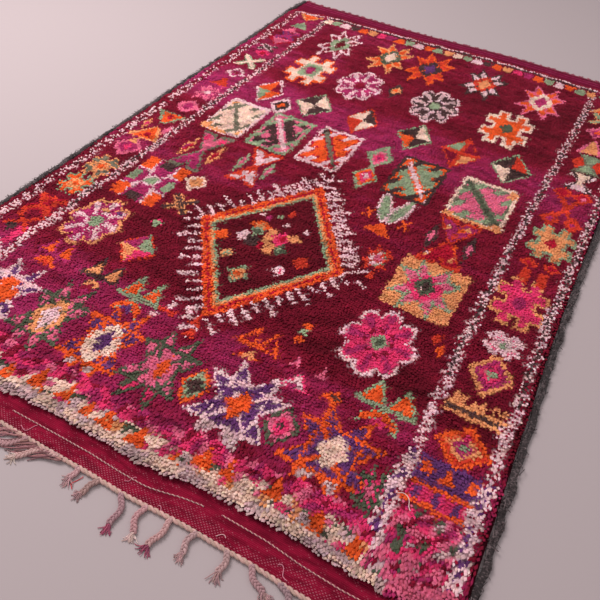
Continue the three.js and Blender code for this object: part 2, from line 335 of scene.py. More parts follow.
from_near = root_y - near_pile(nominal_x)
from_far = far_pile(nominal_x) - root_y
from_side = np.minimum(root_x - left_side(root_y), right_side(root_y) - root_x)
waves = np.sin(math.tau * root_x / LUMP_PITCH_X + 1.7 * np.sin(math.pi * root_y / LUMP_PITCH_Y))
height = PILE_HEIGHT + NEAR_PILE_EXTRA * (1 - smooth_step(from_near, 0, NEAR_PILE_REACH))
height += LUMP_HEIGHT * waves * np.cos(math.tau * root_y / LUMP_PITCH_Y)
near_share = 1 - smooth_step(from_near, 40 * MM, 360 * MM)  # 1 in the long pile of the near end
locks = patches(0.045, 19)
height += LOCK_HEIGHT * (0.4 + 0.6 * near_share) * locks
height *= rising(SIDE_SHARE, from_side, 0, 22 * MM)
height *= rising(END_SHARE, np.minimum(from_near, from_far), -5 * MM, 45 * MM)
height *= chance.uniform(0.9, 1.07, knots)
lean_y = -LEAN * (1 + 0.45 * patches(0.21, 3)) * chance.uniform(0.84, 1.16, knots)
lean_y *= (1 + 0.4 * near_share) * rising(RIM_LEAN, from_near, 0, 40 * MM)
lean_y += CLUMP * patches(0.05, 31)
lean_x = SIDEWAYS * patches(0.26, 4) + CLUMP * patches(0.045, 32)
lean_x += STRAGGLE * chance.standard_normal(knots)
lean_x = np.clip(lean_x, -from_side * 0.7, from_side * 0.7)
seen_x, seen_y = root_x + SEEN_SHARE * lean_x, root_y + SEEN_SHARE * lean_y
print("pile from", round(float(height.min()) / MM, 1), "to", round(float(height.max()) / MM, 1), "mm")

# %% [markdown]
# ## Ground colours
# Where a batch of wine wool ran out, the next one was brighter or darker. Weavers call this abrash. We
# give each height on the rug a shade from 0, dark wine, over 1, wine, to 2, magenta, and let it drift.
# Round the big diamond the wool is darker still.

# %% Abrash
DIAMOND = {"x": -33, "y": -438, "w": 248, "h": 354}  # the big diamond's middle and reach, in millimetres
DARK_ROUND = {"w": 330, "h": 470}  # how far the darker wool round it reaches
OUTLINE_STRAY = 1.8  # millimetres by which a figure's outline strays from knot to knot
DARKENED = 0.36  # how much darker the shade is round the big diamond
ABRASH_COLUMNS = ("y", "left", "right")  # y in millimetres, and the shade at either side
ABRASH = np.array([
    (-1240, 1.5, 1.4),
    (-1130, 1.6, 1.6),
    (-1070, 1.7, 1.0),
    (-1010, 2.1, 1.2),
    (-920, 1.8, 1.2),
    (-820, 1.8, 1.1),
    (-770, 1.3, 0.5),
    (-725, 0.8, 0.0),
    (-650, 0.7, 0.5),
    (-550, 0.4, 0.8),
    (-420, 0.8, 0.5),
    (-300, 0.8, 0.6),
    (-220, 1.4, 1.1),
    (-150, 1.2, 0.9),
    (30, 0.9, 0.6),
    (100, 0.9, 0.7),
    (160, 1.2, 1.3),
    (240, 1.9, 1.6),
    (340, 2.1, 1.4),
    (430, 1.75, 1.05),
    (530, 0.9, 0.2),
    (640, 1.6, 0.6),
    (700, 1.6, 0.1),
    (780, 1.4, 0.2),
    (860, 1.0, 0.1),
    (1000, 1.4, 0.6),
    (1080, 1.3, 0.8),
    (1240, 1.0, 0.9),
])


def from_table(table, columns, name, place):
    """A table's named column at each place, straight from row to row."""
    return np.interp(place, table[:, 0], table[:, columns.index(name)])


def local(x, y, w, h):
    """Each knot's place in a figure that is centred on x, y and reaches w and h from there."""
    return (chart_x - x) / w, (chart_y - y) / h


chart_x = seen_x / MM + chance.normal(0, OUTLINE_STRAY, knots)
chart_y = seen_y / MM + chance.normal(0, OUTLINE_STRAY, knots)
shade = from_table(ABRASH, ABRASH_COLUMNS, "left", chart_y) * (1 - across)
shade += from_table(ABRASH, ABRASH_COLUMNS, "right", chart_y) * across
shade += 0.22 * patches(0.30, 5) + 0.16 * drift(root_x * 0.35, root_y, 0.055, 6)
u, v = local(**(DIAMOND | DARK_ROUND))
shade -= DARKENED * (abs(u) + abs(v) < 1)
shade = np.clip(shade + chance.normal(0, 0.09, knots), -0.4, 2.2)
dye = np.full(knots, -1)
print("ground shade averages", round(float(shade.mean()), 2))

# %% [markdown]
# ## Drawing motifs with yarn
# The weaver worked from memory, so every motif is a simple figure that is repeated with other yarns. Each
# figure below is a small formula in u and v, which run from -1 to 1 across it, and it colours the knots
# whose place satisfies it. `paint` does the colouring, and later figures cover earlier ones.

# %% Painting helpers
def paint(where, yarn):
    """Gives the knots in a mask this yarn, or the ground again where the yarn is None."""
    dye[where] = -1 if yarn is None else YARN_NUMBER[yarn]


def folded(x, y, w, h):
    """The place u, v in a figure, and p = |u| and q = |v|, which fold it over its two axes."""
    u, v = local(x, y, w, h)
    return u, v, abs(u), abs(v)


def mottle(where, *spots):
    """Paints soft spots into a mask: where the patches of a pitch and a seed pass a level, in a yarn."""
    for pitch, seed, start, yarn in spots:
        paint(where & (patches(pitch, seed) > start), yarn)


print("painting helpers ready")

# %% [markdown]
# The plainest figures are blocks and diamonds. A diamond is every knot whose steps across and along add up
# to less than its reach, so that is how we test for one.

# %% Blocks and diamonds
def box(x, y, w, h, yarn):
    """A block: |u| < 1 and |v| < 1."""
    u, v = local(x, y, w, h)
    paint((abs(u) < 1) & (abs(v) < 1), yarn)


def diamond(x, y, w, h, *yarns):
    """Nested diamonds |u| + |v| < 1, 1 - 1/n, 1 - 2/n and so on, from the outside in."""
    u, v = local(x, y, w, h)
    for step, yarn in enumerate(yarns):
        paint(abs(u) + abs(v) < 1 - step / len(yarns), yarn)


def quartered(x, y, w, h, edge, top_left, top_right, low_left, low_right, cross=0):
    """A diamond |u| + |v| < 1 with an edge, a yarn in each quarter by the signs of u and v, and a cross of
    the edge's yarn where |u| or |v| is less than its width."""
    u, v = local(x, y, w, h)
    inside = abs(u) + abs(v)
    paint(inside < 1, edge)
    for yarn, side, level in (
        (top_left, -1, 1), (top_right, 1, 1), (low_left, -1, -1), (low_right, 1, -1),
    ):
        paint((inside < 1 - 8 / min(w, h)) & (u * side > cross) & (v * level > cross), yarn)


print("blocks and diamonds ready")

# %% [markdown]
# Stars and flowers are the weaver's favourites. Folding a figure over its two axes, with absolute values,
# leaves one quarter to describe, and a flower is a wave round a circle.

# %% Stars and flowers
def star(x, y, w, h, edge, fill, inner, middle, lower=None, thick=12, bars=False):
    """An eight-point star of eight leaning petals. With p = |u| and q = |v|, a level petal is the
    lozenge q < 1/2, q > p - 1/2, q < p, and an upright one swaps p and q. Its edge is this many
    millimetres thick. Bars also run through it where q = 1/2."""
    _, v, p, q = folded(x, y, w, h)
    level = np.minimum.reduce([0.5 - q, q - p + 0.5, p - q])
    upright = np.minimum.reduce([0.5 - p, p - q + 0.5, q - p])
    depth = np.maximum(level, upright)
    line = thick * 0.8 / math.sqrt(w * h)
    paint(depth > -0.02, edge)
    paint(depth > line, fill)
    if lower:
        paint((depth > line) & (v < -0.5), lower)
    if inner:
        paint((depth > line * 0.4) & (p + q < 0.62), inner)
    if bars:
        paint((abs(q - 0.5) < thick * 0.5 / h) & (p < 1), edge)
        paint((abs(p - 0.5) < thick * 0.4 / w) & (q < 0.5) & (p + q > 0.55), edge)
    paint(p / 0.30 + q / 0.36 < 1, middle)


def rosette(x, y, w, h, edge, fill, spoke, middle, ring=None):
    """A round flower with eight lobes: its rim is 0.68 plus 0.32 times the square root of |cos 4a|, its
    spokes lie where |sin 4a| is small, and its edge is two knots wide."""
    u, v = local(x, y, w, h)
    reach, angle = np.hypot(u, v), np.arctan2(v, u)
    rim = 0.68 + 0.32 * np.sqrt(abs(np.cos(4 * angle)))
    line = 12 / math.sqrt(w * h)
    paint(reach < rim, edge)
    paint(reach < rim - line, fill)
    paint((reach < rim - line - 0.04) & (abs(np.sin(4 * angle)) < 0.5) & (reach > 0.3), spoke)
    paint((abs(reach - 0.36) < 0.05) & (np.sin(8 * angle) > -0.2), ring or edge)
    paint(reach < 0.22, middle)


print("stars and flowers ready")

# %% [markdown]
# Bordered squares fill the rows between the stars. Their fields, blocks, leaves and bands are painted one
# over the other, from the border inwards, so that each only needs its own outline.

# %% Squares
def leaf_square(x, y, w, h, border, field, block, leaf, band, corner):
    """A bordered square with two leaves beside a slanting band. The band runs along u = -v. Blocks stand on
    the inside of the border wherever a square wave in u - v is high, and a leaf ends one outline short of
    the border, the blocks and the band."""
    u, v = local(x, y, w, h)
    size = np.maximum(abs(u), abs(v))
    off = abs(u + v)
    blocks = ((u - v) * 1.4 + 0.3) % 1 > 0.6
    wide_blocks = abs(((u - v) * 1.4 + 0.3) % 1 - 0.8) < 0.23
    paint(size < 1, border)
    paint(size < 0.88, field)
    paint((size < 0.88) & (size > 0.60) & blocks, block)
    paint((size < 0.80) & (off > 0.22) & ~(wide_blocks & (size > 0.54)), leaf)
    paint((size < 0.88) & (off < 0.12), band)
    paint((size < 0.84) & (u * v < -0.5) & (off < 0.3), corner)


def cornered_square(x, y, w, h, corner, star_yarn, edge, side, cap, middle):
    """A square with four block corners, where |u| > 0.50 and |v| > 0.44, round a cross with caps at its
    arms' ends. Its middle is where u^2 + 1.6 v^2 < 0.11."""
    u, v, p, q = folded(x, y, w, h)
    inside = np.maximum(p, q) < 1
    paint(inside, star_yarn)
    paint(inside & (abs(p - q) < 0.14) & (p > 0.25), edge)
    paint(inside & (p > 0.42) & (q > 0.38), edge)
    paint(inside & (p > 0.50) & (q > 0.44), corner)
    paint(inside & (p > 0.62) & (q < 0.24), side)
    paint(inside & (q > 0.66) & (p < 0.30), cap)
    paint(u * u + v * v * 1.6 < 0.11, edge)
    paint(u * u + v * v * 1.6 < 0.06, middle)


print("squares ready")

# %% [markdown]
# Hourglasses, blocky stars and gables are built of bars and wedges. A knot's depth is how far it lies inside
# the nearest edge, so an outline is where the depth is small and the filling where it is greater.

# %% Hourglasses and gables
def hourglass(x, y, w, h, edge, top, bottom, side, side_fill):
    """Two hearts tip to tip: |u| < 0.14 + 0.9 |v|, notched where |u| < 0.62 |v| - 0.46, with a lozenge at
    each side of the waist."""
    _, v, p, q = folded(x, y, w, h)
    lozenge = abs(p - 0.84) / 0.26 + q / 0.62
    paint(lozenge < 1, side)
    paint(lozenge < 0.5, side_fill)
    depth = np.minimum.reduce([0.14 + 0.9 * q - p, p - 0.62 * q + 0.46, 1 - q])
    paint((depth > 0) & (p < 0.95), edge)
    core = (depth > 9 / w) & (p < 0.95 - 7 / w)
    paint(core & (v > 0), top)
    paint(core & (v < 0), bottom)


def cross_star(x, y, w, h, edge, fill, core, middle, thick=9):
    """A blocky star of eight legs. Two upright legs lie where |p - 0.38| < 0.25 and two level ones where
    |q - 0.38| < 0.25, with p = |u| and q = |v|."""
    _, _, p, q = folded(x, y, w, h)
    upright = np.minimum(0.25 - abs(p - 0.38), 1 - q)
    level = np.minimum(0.25 - abs(q - 0.38), 1 - p)
    depth = np.maximum.reduce([upright, level, 0.6 - np.maximum(p, q)])
    paint(depth > 0, edge)
    paint(depth > thick / math.sqrt(w * h), fill)
    paint(np.maximum(p, q) < 0.42, core)
    paint(p / 0.30 + q / 0.32 < 1, middle)


def gable(x, y, w, h, post, edge, lower, roof=0.62):
    """Two peaks on a long base, and a roof under it. A peak narrows from 0.36 to a tip as v goes to 1, and
    the roof spans this share of the base."""
    u, v = local(x, y, w, h)
    for tip in (-0.46, 0.46):
        width = 0.36 * (1 - (v - 0.05) / 0.95)
        paint((v > 0) & (abs(u - tip) < width + 0.12), edge)
        paint((v > 0.12) & (abs(u - tip) < width), post)
    paint((abs(v) < 0.11) & (abs(u) < 1), edge)
    slope = -v - 0.22 - 0.95 * abs(u)
    paint((abs(slope) < 0.24) & (abs(u) < roof) & (v < -0.16), edge)
    paint((abs(slope) < 0.18) & (abs(u) < roof - 0.04) & (v < -0.2), post)
    paint((slope > 0.2) & (slope < 0.55) & (abs(u) < 0.25), lower)


print("hourglasses and gables ready")

# %% [markdown]
# Crosses, peaks and a row of crowns fill the borders and the gaps.

# %% Small figures
def saltire(x, y, w, h, yarn, edge=None):
    """A slanting cross: ||u| - |v|| < 0.24, with an edge outside it if one is named."""
    u, v = local(x, y, w, h)
    inside = np.maximum(abs(u), abs(v)) < 1
    if edge:
        paint(inside & (abs(abs(u) - abs(v)) < 0.42), edge)
    paint(inside & (abs(abs(u) - abs(v)) < 0.24), yarn)


def peak(x, y, w, h, yarn, edge=None):
    """A triangle |u| < 0.5 (1 - v) that points to the far end, or to the near end where h is negative."""
    u, v = local(x, y, w, abs(h))
    v = v * math.copysign(1, h)
    if edge:
        paint((abs(v) < 1) & (abs(u) < 0.62 * (1 - v) + 0.16), edge)
    paint((abs(v) < 0.9) & (abs(u) < 0.5 * (1 - v)), yarn)


def crown(x, y, w, h, yarn, middle):
    """A bar below v = 0.1 with a stripe in its middle, and three small crowns on it, at u = -0.66, 0 and
    0.66."""
    u, v = local(x, y, w, h)
    paint((abs(u) < 1) & (v > -1) & (v < 0.1), yarn)
    paint((abs(u) < 0.95) & (abs(v + 0.45) < 0.22), middle)
    for place in (-0.66, 0, 0.66):
        paint((abs(abs(u - place) - 0.14) < 0.08) & (v > 0) & (v < 0.95), yarn)
        paint((abs(u - place) < 0.24) & (abs(v - 0.45) < 0.14), yarn)


print("small figures ready")

# %% [markdown]
# ## The big diamond
# The middle of the rug is a tall diamond. From outside in, its bands are orange, crimson, orange, peach
# and sage, round a dark field.
# Pale combs stick out all round it. A tooth is where the distance along the edge, counted in teeth, is in
# the first part of a tooth.

# %% Big diamond
DIAMOND_BANDS = (
    (0, "orange"), (14, "crimson"), (21, "orange"), (28, "peach"), (37, "sage"), (45, "dark wine"),
)  # millimetres in from the edge at which each yarn begins
TOOTH_PITCH = 35
TOOTH_THICK = 0.34  # a tooth's share of the pitch
TOOTH_REACH = 66
HATCH_REACH = 52
rung = row % 2 == 0  # combs and ladders are knotted in every second row


def big_diamond(x, y, w, h):
    """The distance in from the edge is (1 - |u| - |v|) w h / sqrt(w^2 + h^2), and that picks the band."""
    u, v = local(x, y, w, h)
    inward = (1 - abs(u) - abs(v)) * w * h / math.hypot(w, h)
    along_edge = (abs(v) * h * h - abs(u) * w * w) / math.hypot(w, h)
    number = np.floor(along_edge / TOOTH_PITCH + 3 * (chart_x > x) + 7 * (chart_y > y))
    reach = TOOTH_REACH * (0.82 + 0.3 * np.sin(number * 2.4))
    tooth = ((along_edge / TOOTH_PITCH) % 1 < TOOTH_THICK) & (-inward < reach) & (inward < 0)
    outside = (inward < 0) & (-inward < HATCH_REACH)
    hatch = outside & (chart_x > x + 30) & (chart_y > y + 40)
    thin_hatch = outside & (abs(chart_x - x + 70) < 80) & (chart_y > y)
    paint(tooth & (chance.random(knots) < 0.9), "pale pink")
    paint(hatch & rung & (chance.random(knots) < 0.62), "pale pink")
    paint(thin_hatch & rung & (chance.random(knots) < 0.5), "pale pink")
    for start, yarn in DIAMOND_BANDS:
        paint(inward > start, yarn)
    paint((inward > 0) & (inward < 14) & (chance.random(knots) < 0.3), "red orange")


big_diamond(**DIAMOND)
print("pale teeth", int((dye == YARN_NUMBER["pale pink"]).sum()), "knots")

# %% [markdown]
# ## The chart
# Now the figures are placed. A row names the figure, its middle, its reach across and along in millimetres,
# and its yarns from the outside in. Where its first number is a list, the figure stands at each of those
# places across. We start in the dark field of the diamond and work outwards.

# %% Figures in the diamond
IN_DIAMOND = [
    (diamond, -98, -374, 42, 26, "orange", "peach"),
    (diamond, -96, -402, 24, 28, "sage", "dark green"),
    (diamond, -124, -440, 26, 30, "pale pink"),
    (box, -90, -452, 20, 24, "charcoal"),
    (box, -54, -402, 14, 32, "peach"),
    (box, -60, -456, 9, 14, "crimson"),
    (diamond, -18, -398, 30, 38, "hot pink", "crimson"),
    (diamond, 16, -374, 24, 22, "peach"),
    (box, -32, -450, 14, 24, "peach"),
    (diamond, 2, -442, 22, 30, "dark green", "sage"),
    (diamond, -181, -474, 26, 32, "orange"),
    (diamond, 84, -462, 28, 32, "red orange"),
    (diamond, -124, -536, 24, 24, "peach", "sage"),
    (diamond, -48, -596, 32, 46, "sage", "peach", "orange"),
    (diamond, 50, -524, 20, 24, "pale pink", "hot pink"),
    (diamond, -48, -270, 14, 18, "red orange"),
    (box, -70, -306, 9, 8, "sage"),
    (box, -36, -330, 10, 8, "pale pink"),
    (box, -128, -322, 10, 8, "pale pink"),
    (box, -100, -328, 9, 12, "magenta"),
    (box, 36, -324, 8, 10, "pale pink"),
]
# %% Figures of the near row and the rows above it
NEAR_FIELD = [
    (star, -548, -1000, 92, 132, "pale pink", "purple", "orange", "orange", None, 11, True),
    (star, -374, -1000, 84, 136, "dark green", "pink", "peach", "pale pink", None, 9, True),
    (diamond, -374, -998, 24, 44, "pale pink"),
    (star, -200, -1000, 92, 140, "orange", "purple", "cream", "cream", "lilac", 10, True),
    (diamond, -200, -995, 26, 42, "purple"),
    (star, -28, -990, 86, 128, "dark green", "pink", None, "pink", "hot pink", 10, True),
    (diamond, -22, -985, 18, 46, "orange"),
    (diamond, 78, -992, 42, 64, "orange", "sage", "charcoal", "charcoal"),
    (star, 199, -992, 108, 132, "pale pink", "purple", None, "purple", "lilac", 9, True),
    (diamond, 199, -985, 32, 48, "orange"),
    (diamond, 316, -985, 50, 62, "dark green", "pink", "hot pink", "charcoal"),
    (star, 450, -990, 112, 126, "orange", "purple", None, "purple", "lilac", 9, True),
    (diamond, 450, -985, 42, 52, "cream"),
    (star, 566, -1030, 38, 70, "dark green", "hot pink", None, "pink"),
    (gable, -362, -820, 66, 62, "peach", "charcoal", "wine", 0.4),
    (gable, -224, -828, 68, 66, "orange", "sage", "purple"),
    (gable, 508, -812, 84, 66, "orange", "sage", "hot pink"),
    (gable, -534, -812, 60, 56, "orange", "magenta", "red orange"),
    (gable, 142, -806, 62, 52, "wine", "orange", "peach"),
    (peak, 286, -850, 30, 24, "pale pink", "hot pink"),
    (diamond, 286, -868, 12, 12, "magenta"),
    (peak, (256, 328), -792, 16, 22, "pink"),
    (diamond, 386, -850, 30, 26, "orange", "charcoal"),
    (box, -128, -796, 8, 16, "pale pink"),
    (box, -152, -850, 14, 7, "pale pink"),
    (box, -80, -785, 9, 12, "pale pink"),
    (box, -130, -822, 32, 8, "red orange"),
    (peak, -40, -808, 20, 26, "red orange"),
    (peak, -30, -852, 22, 18, "red orange"),
]
# %% Figures beside the diamond
MIDDLE_FIELD = [
    (rosette, -536, -628, 90, 124, "peach", "magenta", "pale pink", "sage", "pale pink"),
    (diamond, -545, -570, 16, 14, "peach"),
    (diamond, -500, -560, 14, 12, "purple"),
    (quartered, -352, -662, 62, 76, "red orange", "magenta", "sage", "peach", "hot pink"),
    (diamond, -396, -295, 40, 52, "cream", "peach", "peach"),
    (peak, -376, -522, 22, 16, "hot pink"),
    (peak, -378, -540, 20, -16, "sage"),
    (saltire, -372, -420, 44, 46, "charcoal", "peach"),
    (star, 270, -318, 42, 62, "red orange", "sage", "pale pink", "pink"),
    (box, 284, -395, 7, 20, "red orange"),
    (diamond, 222, -668, 16, 14, "orange"),
    (diamond, 222, -722, 20, 15, "orange"),
    (box, 222, -695, 10, 9, "sage"),
    (cornered_square, -524, -368, 84, 114, "orange", "magenta", "pale pink", "sage", "charcoal", "sage"),
    (box, 443, -362, 102, 116, "peach"),
    (star, 440, -362, 94, 114, "sage", "pink", "hot pink", "charcoal", None, 8),
    (diamond, 434, -356, 36, 46, "dark green", "charcoal"),
    (box, 428, -366, 6, 10, "pale pink"),
    (diamond, 538, -532, 16, 26, "red orange"),
    (diamond, 560, -568, 14, 24, "orange"),
    (rosette, 408, -624, 104, 130, "pale pink", "hot pink", "magenta", "pink", "wine"),
    (diamond, 408, -622, 24, 34, "sage", "dark green"),
    (hourglass, -488, -130, 66, 122, "moss", "pink", "magenta", "peach", "crimson"),
    (diamond, -520, -46, 14, 30, "hot pink"),
    (diamond, -456, -44, 12, 24, "hot pink"),
    (diamond, -548, -130, 8, 46, "magenta"),
    (hourglass, -282, -110, 62, 108, "red orange", "pale pink", "pale pink", "sage", "pink"),
    (box, -308, -170, 12, 12, "red orange"),
    (diamond, -282, -128, 12, 30, "red orange"),
    (hourglass, 434, -126, 74, 124, "red orange", "magenta", "crimson", "charcoal", "pink"),
    (diamond, 402, -48, 9, 18, "peach", "pale pink"),
    (diamond, 466, -40, 10, 16, "peach"),
    (diamond, 446, -54, 16, 18, "orange"),
    (diamond, 434, -92, 10, 20, "red orange"),
    (diamond, 390, -212, 10, 14, "peach", "pale pink"),
    (diamond, 466, -208, 10, 14, "peach", "pale pink"),
    (box, 458, -150, 6, 22, "orange"),
    (peak, 218, -182, 52, 34, "orange"),
    (saltire, 155, -122, 18, 30, "orange"),
    (saltire, 280, -126, 18, 34, "orange"),
]
# %% Figures of the squares, the small diamonds and the far stars
FAR_FIELD = [
    (leaf_square, -508, 130, 82, 124, "pale pink", "cream", "moss", "cream", "moss", "peach"),
    (box, -508, 242, 74, 8, "pale pink"),
    (box, -574, 30, 18, 22, "peach"),
    (box, -520, 18, 36, 8, "peach"),
    (leaf_square, -315, 130, 84, 126, "sage", "pink", "sage", "charcoal", "pale pink", "pink"),
    (diamond, -352, 84, 20, 22, "pink"),
    (diamond, -272, 186, 20, 22, "pink"),
    (leaf_square, -118, 140, 82, 128, "pale pink", "crimson", "pale pink", "orange", "moss", "charcoal"),
    (leaf_square, 218, 132, 84, 128, "charcoal", "orange", "charcoal", "sage", "pale pink", "orange"),
    (leaf_square, 458, 130, 98, 126, "cream", "moss", "sage", "pink", "dark green", "dark green"),
    (box, 375, 18, 16, 12, "peach"),
    (box, 458, 10, 90, 6, "peach"),
    (box, 538, 20, 16, 14, "peach"),
    (box, 540, 228, 14, 22, "peach"),
    (diamond, 58, 192, 50, 84, "sage", "moss"),
    (diamond, 57, 186, 30, 58, "pink", "hot pink", "magenta"),
    (diamond, 62, 52, 48, 78, "sage", "orange", "hot pink", "pale pink"),
    (quartered, -508, 382, 62, 108, "pale pink", "orange", "wine", "sage", "orange"),
    (quartered, -306, 382, 78, 104, "sage", "charcoal", "cream", "cream", "charcoal"),
    (quartered, -100, 384, 66, 108, "red orange", "cream", "charcoal", "red orange", "cream"),
    (quartered, 112, 390, 70, 104, "sage", "charcoal", "cream", "orange", "charcoal"),
    (quartered, 296, 386, 76, 116, "red orange", "sage", "wine", "wine", "peach", 0.1),
    (quartered, 484, 388, 76, 108, "sage", "charcoal", "red orange", "cream", "charcoal"),
    (diamond, -412, 304, 48, 68, "pale pink", "charcoal", "orange"),
    (cross_star, -456, 634, 88, 130, "orange", "cream", "sage", "magenta"),
    (rosette, -226, 634, 94, 134, "pale pink", "magenta", "pale pink", "wine"),
    (diamond, -84, 680, 32, 66, "charcoal", "peach", "orange"),
    (rosette, 96, 654, 100, 138, "pale pink", "charcoal", "lilac", "sage"),
    (cross_star, 392, 652, 92, 132, "cream", "orange", "orange", "dark green", 14),
    (star, -462, 932, 84, 150, "pale pink", "wine", "sage", "dark wine"),
    (star, -220, 946, 86, 146, "peach", "orange", "dark green", "cream"),
    (star, -34, 950, 90, 152, "orange", "red orange", "charcoal", "purple"),
    (star, 208, 956, 88, 140, "charcoal", "pale pink", "red orange", "peach"),
    (star, 456, 944, 90, 146, "pink", "orange", "cream", "magenta"),
]
# %% Figures of the two borders
LEFT_BORDER = [
    (star, -712, -1000, 54, 70, "orange", "pink", None, "purple"),
    (diamond, -712, -880, 52, 46, "pale pink", "hot pink", "orange"),
    (box, -690, -800, 14, 44, "hot pink"),
    (diamond, -728, -776, 22, 30, "charcoal"),
    (saltire, -716, -742, 46, 36, "red orange"),
    (saltire, -716, -650, 54, 54, "red orange", "crimson"),
    (diamond, -716, -636, 36, 40, "red orange", "crimson"),
    (cross_star, -714, -512, 54, 56, "sage", "orange", "peach", "orange", 7),
    (cross_star, -712, -392, 54, 62, "peach", "moss", "peach", "orange", 7),
    (diamond, -714, -248, 58, 64, "pink", "magenta", "hot pink"),
    (peak, -720, -202, 26, 16, "peach"),
    (peak, -706, -134, 50, 46, "orange", "peach"),
    (peak, -706, -144, 20, 22, "crimson"),
    (peak, -710, -22, 46, -42, "orange", "sage"),
    (peak, -710, -12, 18, -18, "crimson"),
    (diamond, -756, -84, 14, 44, "peach", "hot pink"),
    (diamond, -666, -84, 12, 42, "pink"),
    (diamond, -704, 96, 50, 52, "pink", "magenta"),
    (star, -700, 226, 52, 62, "pink", "magenta", None, "pale pink"),
    (peak, -704, 338, 44, 40, "red orange", "magenta"),
    (diamond, -696, 428, 44, 44, "pale pink", "magenta", "wine"),
    (saltire, -704, 550, 48, 52, "cream", "sage"),
    (diamond, -702, 652, 34, 34, "hot pink", "crimson"),
    (saltire, -712, 710, 44, 30, "charcoal", "lilac"),
    (peak, -704, 796, 50, -34, "pink", "crimson"),
    (saltire, -700, 872, 46, 48, "magenta", "purple"),
    (peak, -712, 936, 44, 26, "pink"),
    (peak, -700, 1006, 42, 40, "sage"),
    (peak, -708, 1102, 44, -34, "orange", "peach"),
]
RIGHT_BORDER = [
    (box, 704, -916, 72, 36, "purple"),
    (box, 652, -912, 13, 16, "orange"),
    (peak, 706, -914, 22, 22, "orange"),
    (box, 762, -912, 12, 16, "orange"),
    (box, 706, -956, 72, 6, "orange"),
    (box, 704, -982, 70, 20, "hot pink"),
    (box, (656, 700, 746), -982, 8, 18, "purple"),
    (box, 700, -1006, 78, 7, "orange"),
    (diamond, 710, -822, 74, 68, "orange", "red orange", "peach", "magenta", "sage"),
    (peak, 706, -790, 14, 14, "hot pink"),
    (crown, 706, -702, 76, 36, "peach", "charcoal"),
    (diamond, 702, -574, 64, 84, "peach", "magenta", "hot pink", "sage"),
    (cross_star, 700, -456, 52, 46, "pale pink", "pink", "pale pink", "pink"),
    (diamond, 700, -456, 12, 14, "sage"),
    (cross_star, 696, -274, 74, 106, "peach", "hot pink", "hot pink", "magenta"),
    (box, 678, -150, 14, 34, "red orange"),
    (box, 730, -146, 14, 32, "red orange"),
    (diamond, 672, -82, 30, 28, "red orange", "crimson"),
    (diamond, 740, -76, 32, 28, "red orange", "crimson"),
    (cross_star, 712, 46, 70, 94, "sage", "peach", "peach", "crimson"),
    (saltire, 712, 256, 44, 100, "red orange"),
    (diamond, 676, 178, 34, 48, "red orange", "red orange", "magenta"),
    (diamond, 750, 176, 34, 48, "red orange", "red orange", "magenta"),
    (diamond, 680, 350, 35, 44, "red orange", "crimson", "crimson"),
    (diamond, 748, 348, 35, 44, "red orange", "crimson", "pink"),
    (saltire, 720, 446, 46, 54, "pale pink"),
    (peak, 720, 470, 30, -38, "cream", "charcoal"),
    (peak, 720, 422, 34, 36, "pale pink", "charcoal"),
    (box, 720, 446, 11, 20, "cream"),
    (diamond, (688, 762), 580, 27, 50, "red orange"),
    (peak, 725, 608, 36, -36, "sage", "moss"),
    (peak, 725, 548, 36, 36, "sage", "moss"),
    (peak, 712, 706, 38, 54, "peach", "pink"),
    (diamond, 708, 830, 46, 52, "pink", "magenta", "orange"),
    (saltire, 708, 944, 44, 46, "sage", "peach"),
    (peak, 708, 1036, 42, 38, "orange", "peach"),
    (peak, 708, 1116, 42, -30, "hot pink", "sage"),
]
for figure, places, *words in (
    IN_DIAMOND + NEAR_FIELD + MIDDLE_FIELD + FAR_FIELD + LEFT_BORDER + RIGHT_BORDER
):
    for place in np.atleast_1d(places):
        figure(place, *words)
print("figures cover", round(float((dye >= 0).mean()), 3), "of the pile")

# %% [markdown]
# The tulip above the right of the diamond is two leaning leaves on a stalk. It is the only figure of its
# kind, so it is drawn here instead of in the table.

# %% Tulip
TULIP = {"x": 217, "y": -72, "w": 64, "h": 76}
u, v = local(**TULIP)
leaf_middle = 0.18 + 0.36 * (v + 1) / 1.4
leaf = abs(abs(u) - leaf_middle) - 0.40 * np.sqrt(np.clip(1 - v * v, 0, 1))
paint((leaf < 0) & (abs(v) < 1), "pale pink")
paint((leaf < -0.13) & (abs(v) < 0.92), "sage")
print("tulip knots", int(((leaf < 0) & (abs(v) < 1)).sum()))

# %% [markdown]
# ## Stripes, the far row and the near band
# Four pale ladders part the borders from the field. A ladder is a chain of pale dashes that shift from row
# to row, with dark wool between them and down the middle. The far end closes with a row of coloured teeth
# under a dark and a pale line. The near end dissolves into hot pink, then cream and lilac, with orange peaks.

